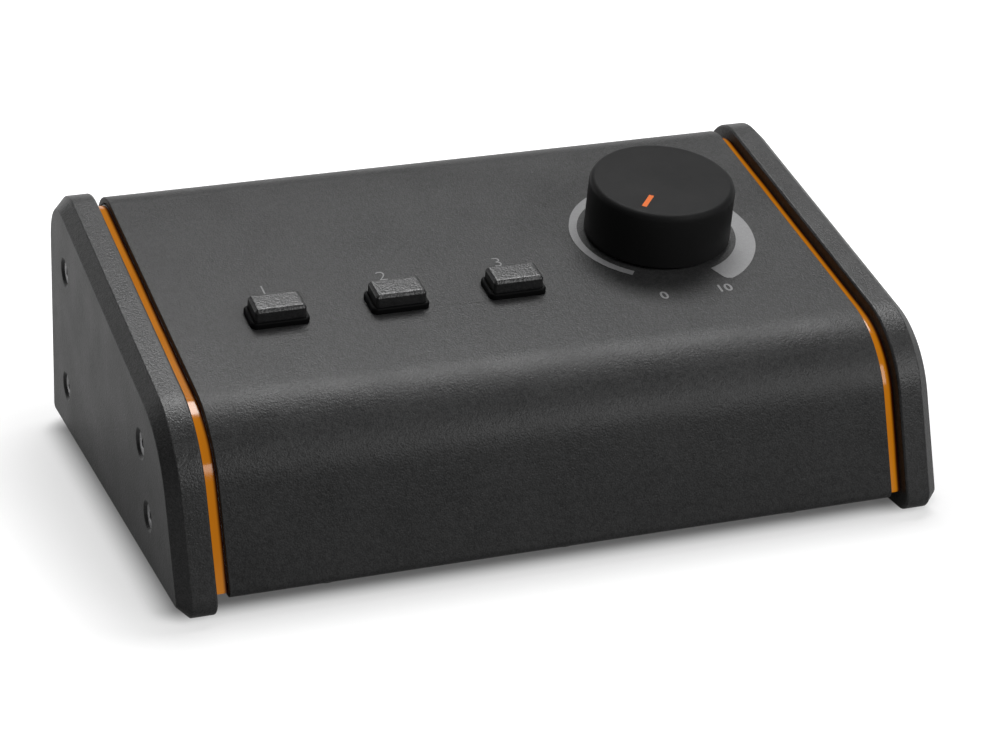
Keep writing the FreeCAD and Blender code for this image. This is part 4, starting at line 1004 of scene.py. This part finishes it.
def soft_box(name, bearing, height, width, depth, power):
    """A lamp aimed at the case, by its bearing from straight behind and its height, in degrees."""
    aim, distance = Vector((0.0, 0.0, 0.03)), 1.3
    light = bpy.data.lights.new(name, "AREA")
    light.shape = "RECTANGLE"
    light.size = width
    light.size_y = depth
    light.energy = power
    lamp = bpy.data.objects.new(name, light)
    around, up = math.radians(bearing), math.radians(height)
    arrow = Vector((math.sin(around) * math.cos(up), math.cos(around) * math.cos(up), math.sin(up)))
    lamp.location = aim + arrow * distance
    lamp.rotation_euler = (-arrow).to_track_quat("-Z", "Y").to_euler()
    bpy.context.scene.collection.objects.link(lamp)


def looked_at(tree, path):
    """1 where the camera looks straight, or through glass."""
    return largest(tree, path.outputs["Is Camera Ray"], path.outputs["Is Transmission Ray"])


def make_world():
    """White to the eye. Gloss sees that white low behind the case, and a dim room elsewhere, as where
    the lights hang behind and above a table; matt faces get little from it."""
    dim_room, horizon_white, matt_white = 0.09, 0.45, 0.45
    world = bpy.data.worlds.new("studio_white")
    world.use_nodes = True
    tree = world.node_tree
    tree.nodes.clear()
    path = add(tree, "ShaderNodeLightPath")
    toward = add(tree, "ShaderNodeSeparateXYZ", {0: add(tree, "ShaderNodeTexCoord").outputs["Generated"]})
    low = eased_range(tree, toward.outputs["Z"], 0.26, 0.52, 1.0, 0.0)
    back_wall = product(tree, eased_range(tree, toward.outputs["Y"], 0.25, 0.70, 0.0, 1.0), low)
    horizon = eased_range(tree, toward.outputs["Z"], 0.0, 0.10, horizon_white, 0.0)
    room = largest(tree, back_wall, horizon, dim_room)
    share = ranged(tree, path.outputs["Is Glossy Ray"], 0.0, 1.0, matt_white, 1.0)
    strength = largest(tree, looked_at(tree, path), product(tree, room, share))
    back = add(tree, "ShaderNodeBackground", {"Color": (1.0, 1.0, 1.0, 1.0), "Strength": strength})
    add(tree, "ShaderNodeOutputWorld", {"Surface": back.outputs[0]})
    return world


def make_floor():
    """A white table. It glows to the eye, and a little to gloss, away from the case: the glow fades towards the
    case's foot, a painted shadow round it on top of the lamps' own shadow; it throws little light back on the
    case."""
    reach, matt, shown, painted_glow_to_gloss, shown_to_gloss = 3.0, 0.07, 0.42, 0.25, 0.9
    corners = [(-reach, -reach, 0), (reach, -reach, 0), (reach, reach, 0), (-reach, reach, 0)]
    mesh = bpy.data.meshes.new("white_floor")
    mesh.from_pydata(corners, [], [(0, 1, 2, 3)])
    floor = bpy.data.objects.new("white_floor", mesh)
    bpy.context.scene.collection.objects.link(floor)
    material, tree, shader = new_material("floor_white")
    path = add(tree, "ShaderNodeLightPath")
    gloss = path.outputs["Is Glossy Ray"]
    half_case, nowhere = (86 * mm, 53 * mm, 0.0), (0.0, 0.0, 0.0)
    spot = add(tree, "ShaderNodeVectorMath", {0: object_point(tree)}, operation="ABSOLUTE")
    past = add(tree, "ShaderNodeVectorMath", {0: spot.outputs[0], 1: half_case}, operation="SUBTRACT")
    outside = add(tree, "ShaderNodeVectorMath", {0: past.outputs[0], 1: nowhere}, operation="MAXIMUM")
    away = add(tree, "ShaderNodeVectorMath", {0: outside.outputs[0]}, operation="LENGTH").outputs["Value"]
    pale = largest(tree, looked_at(tree, path), product(tree, gloss, shown_to_gloss))
    tree.links.new(blended(tree, pale, (matt, matt, matt, 1.0), (shown, shown, shown, 1.0)),
                   shader.inputs["Base Color"])
    shader.inputs["Roughness"].default_value = 0.9
    shader.inputs["Specular IOR Level"].default_value = 0.0
    shader.inputs["Emission Color"].default_value = (1.0, 1.0, 1.0, 1.0)
    # Painted shadow: the glow is 0.10 at the case's footprint and rises over the first 55 mm away from it.
    painted_glow = total(tree, eased_range(tree, away, 0.0, 10 * mm, 0.10, 0.64),
                 eased_range(tree, away, 6 * mm, 55 * mm, 0.0, 0.35))
    seen = largest(tree, looked_at(tree, path), product(tree, gloss, painted_glow_to_gloss))
    tree.links.new(product(tree, seen, painted_glow), shader.inputs["Emission Strength"])
    mesh.materials.append(material)


def studio():
    scene = bpy.context.scene
    scene.view_settings.view_transform = "Standard"
    scene.world = make_world()
    make_floor()
    soft_box("top_box", 35.0, 64.0, 0.95, 0.42, 11.6)
    soft_box("over_box", 330.0, 78.0, 1.10, 0.36, 1.6)
    soft_box("front_box", 146.0, 29.0, 1.00, 0.44, 5.9)


studio()
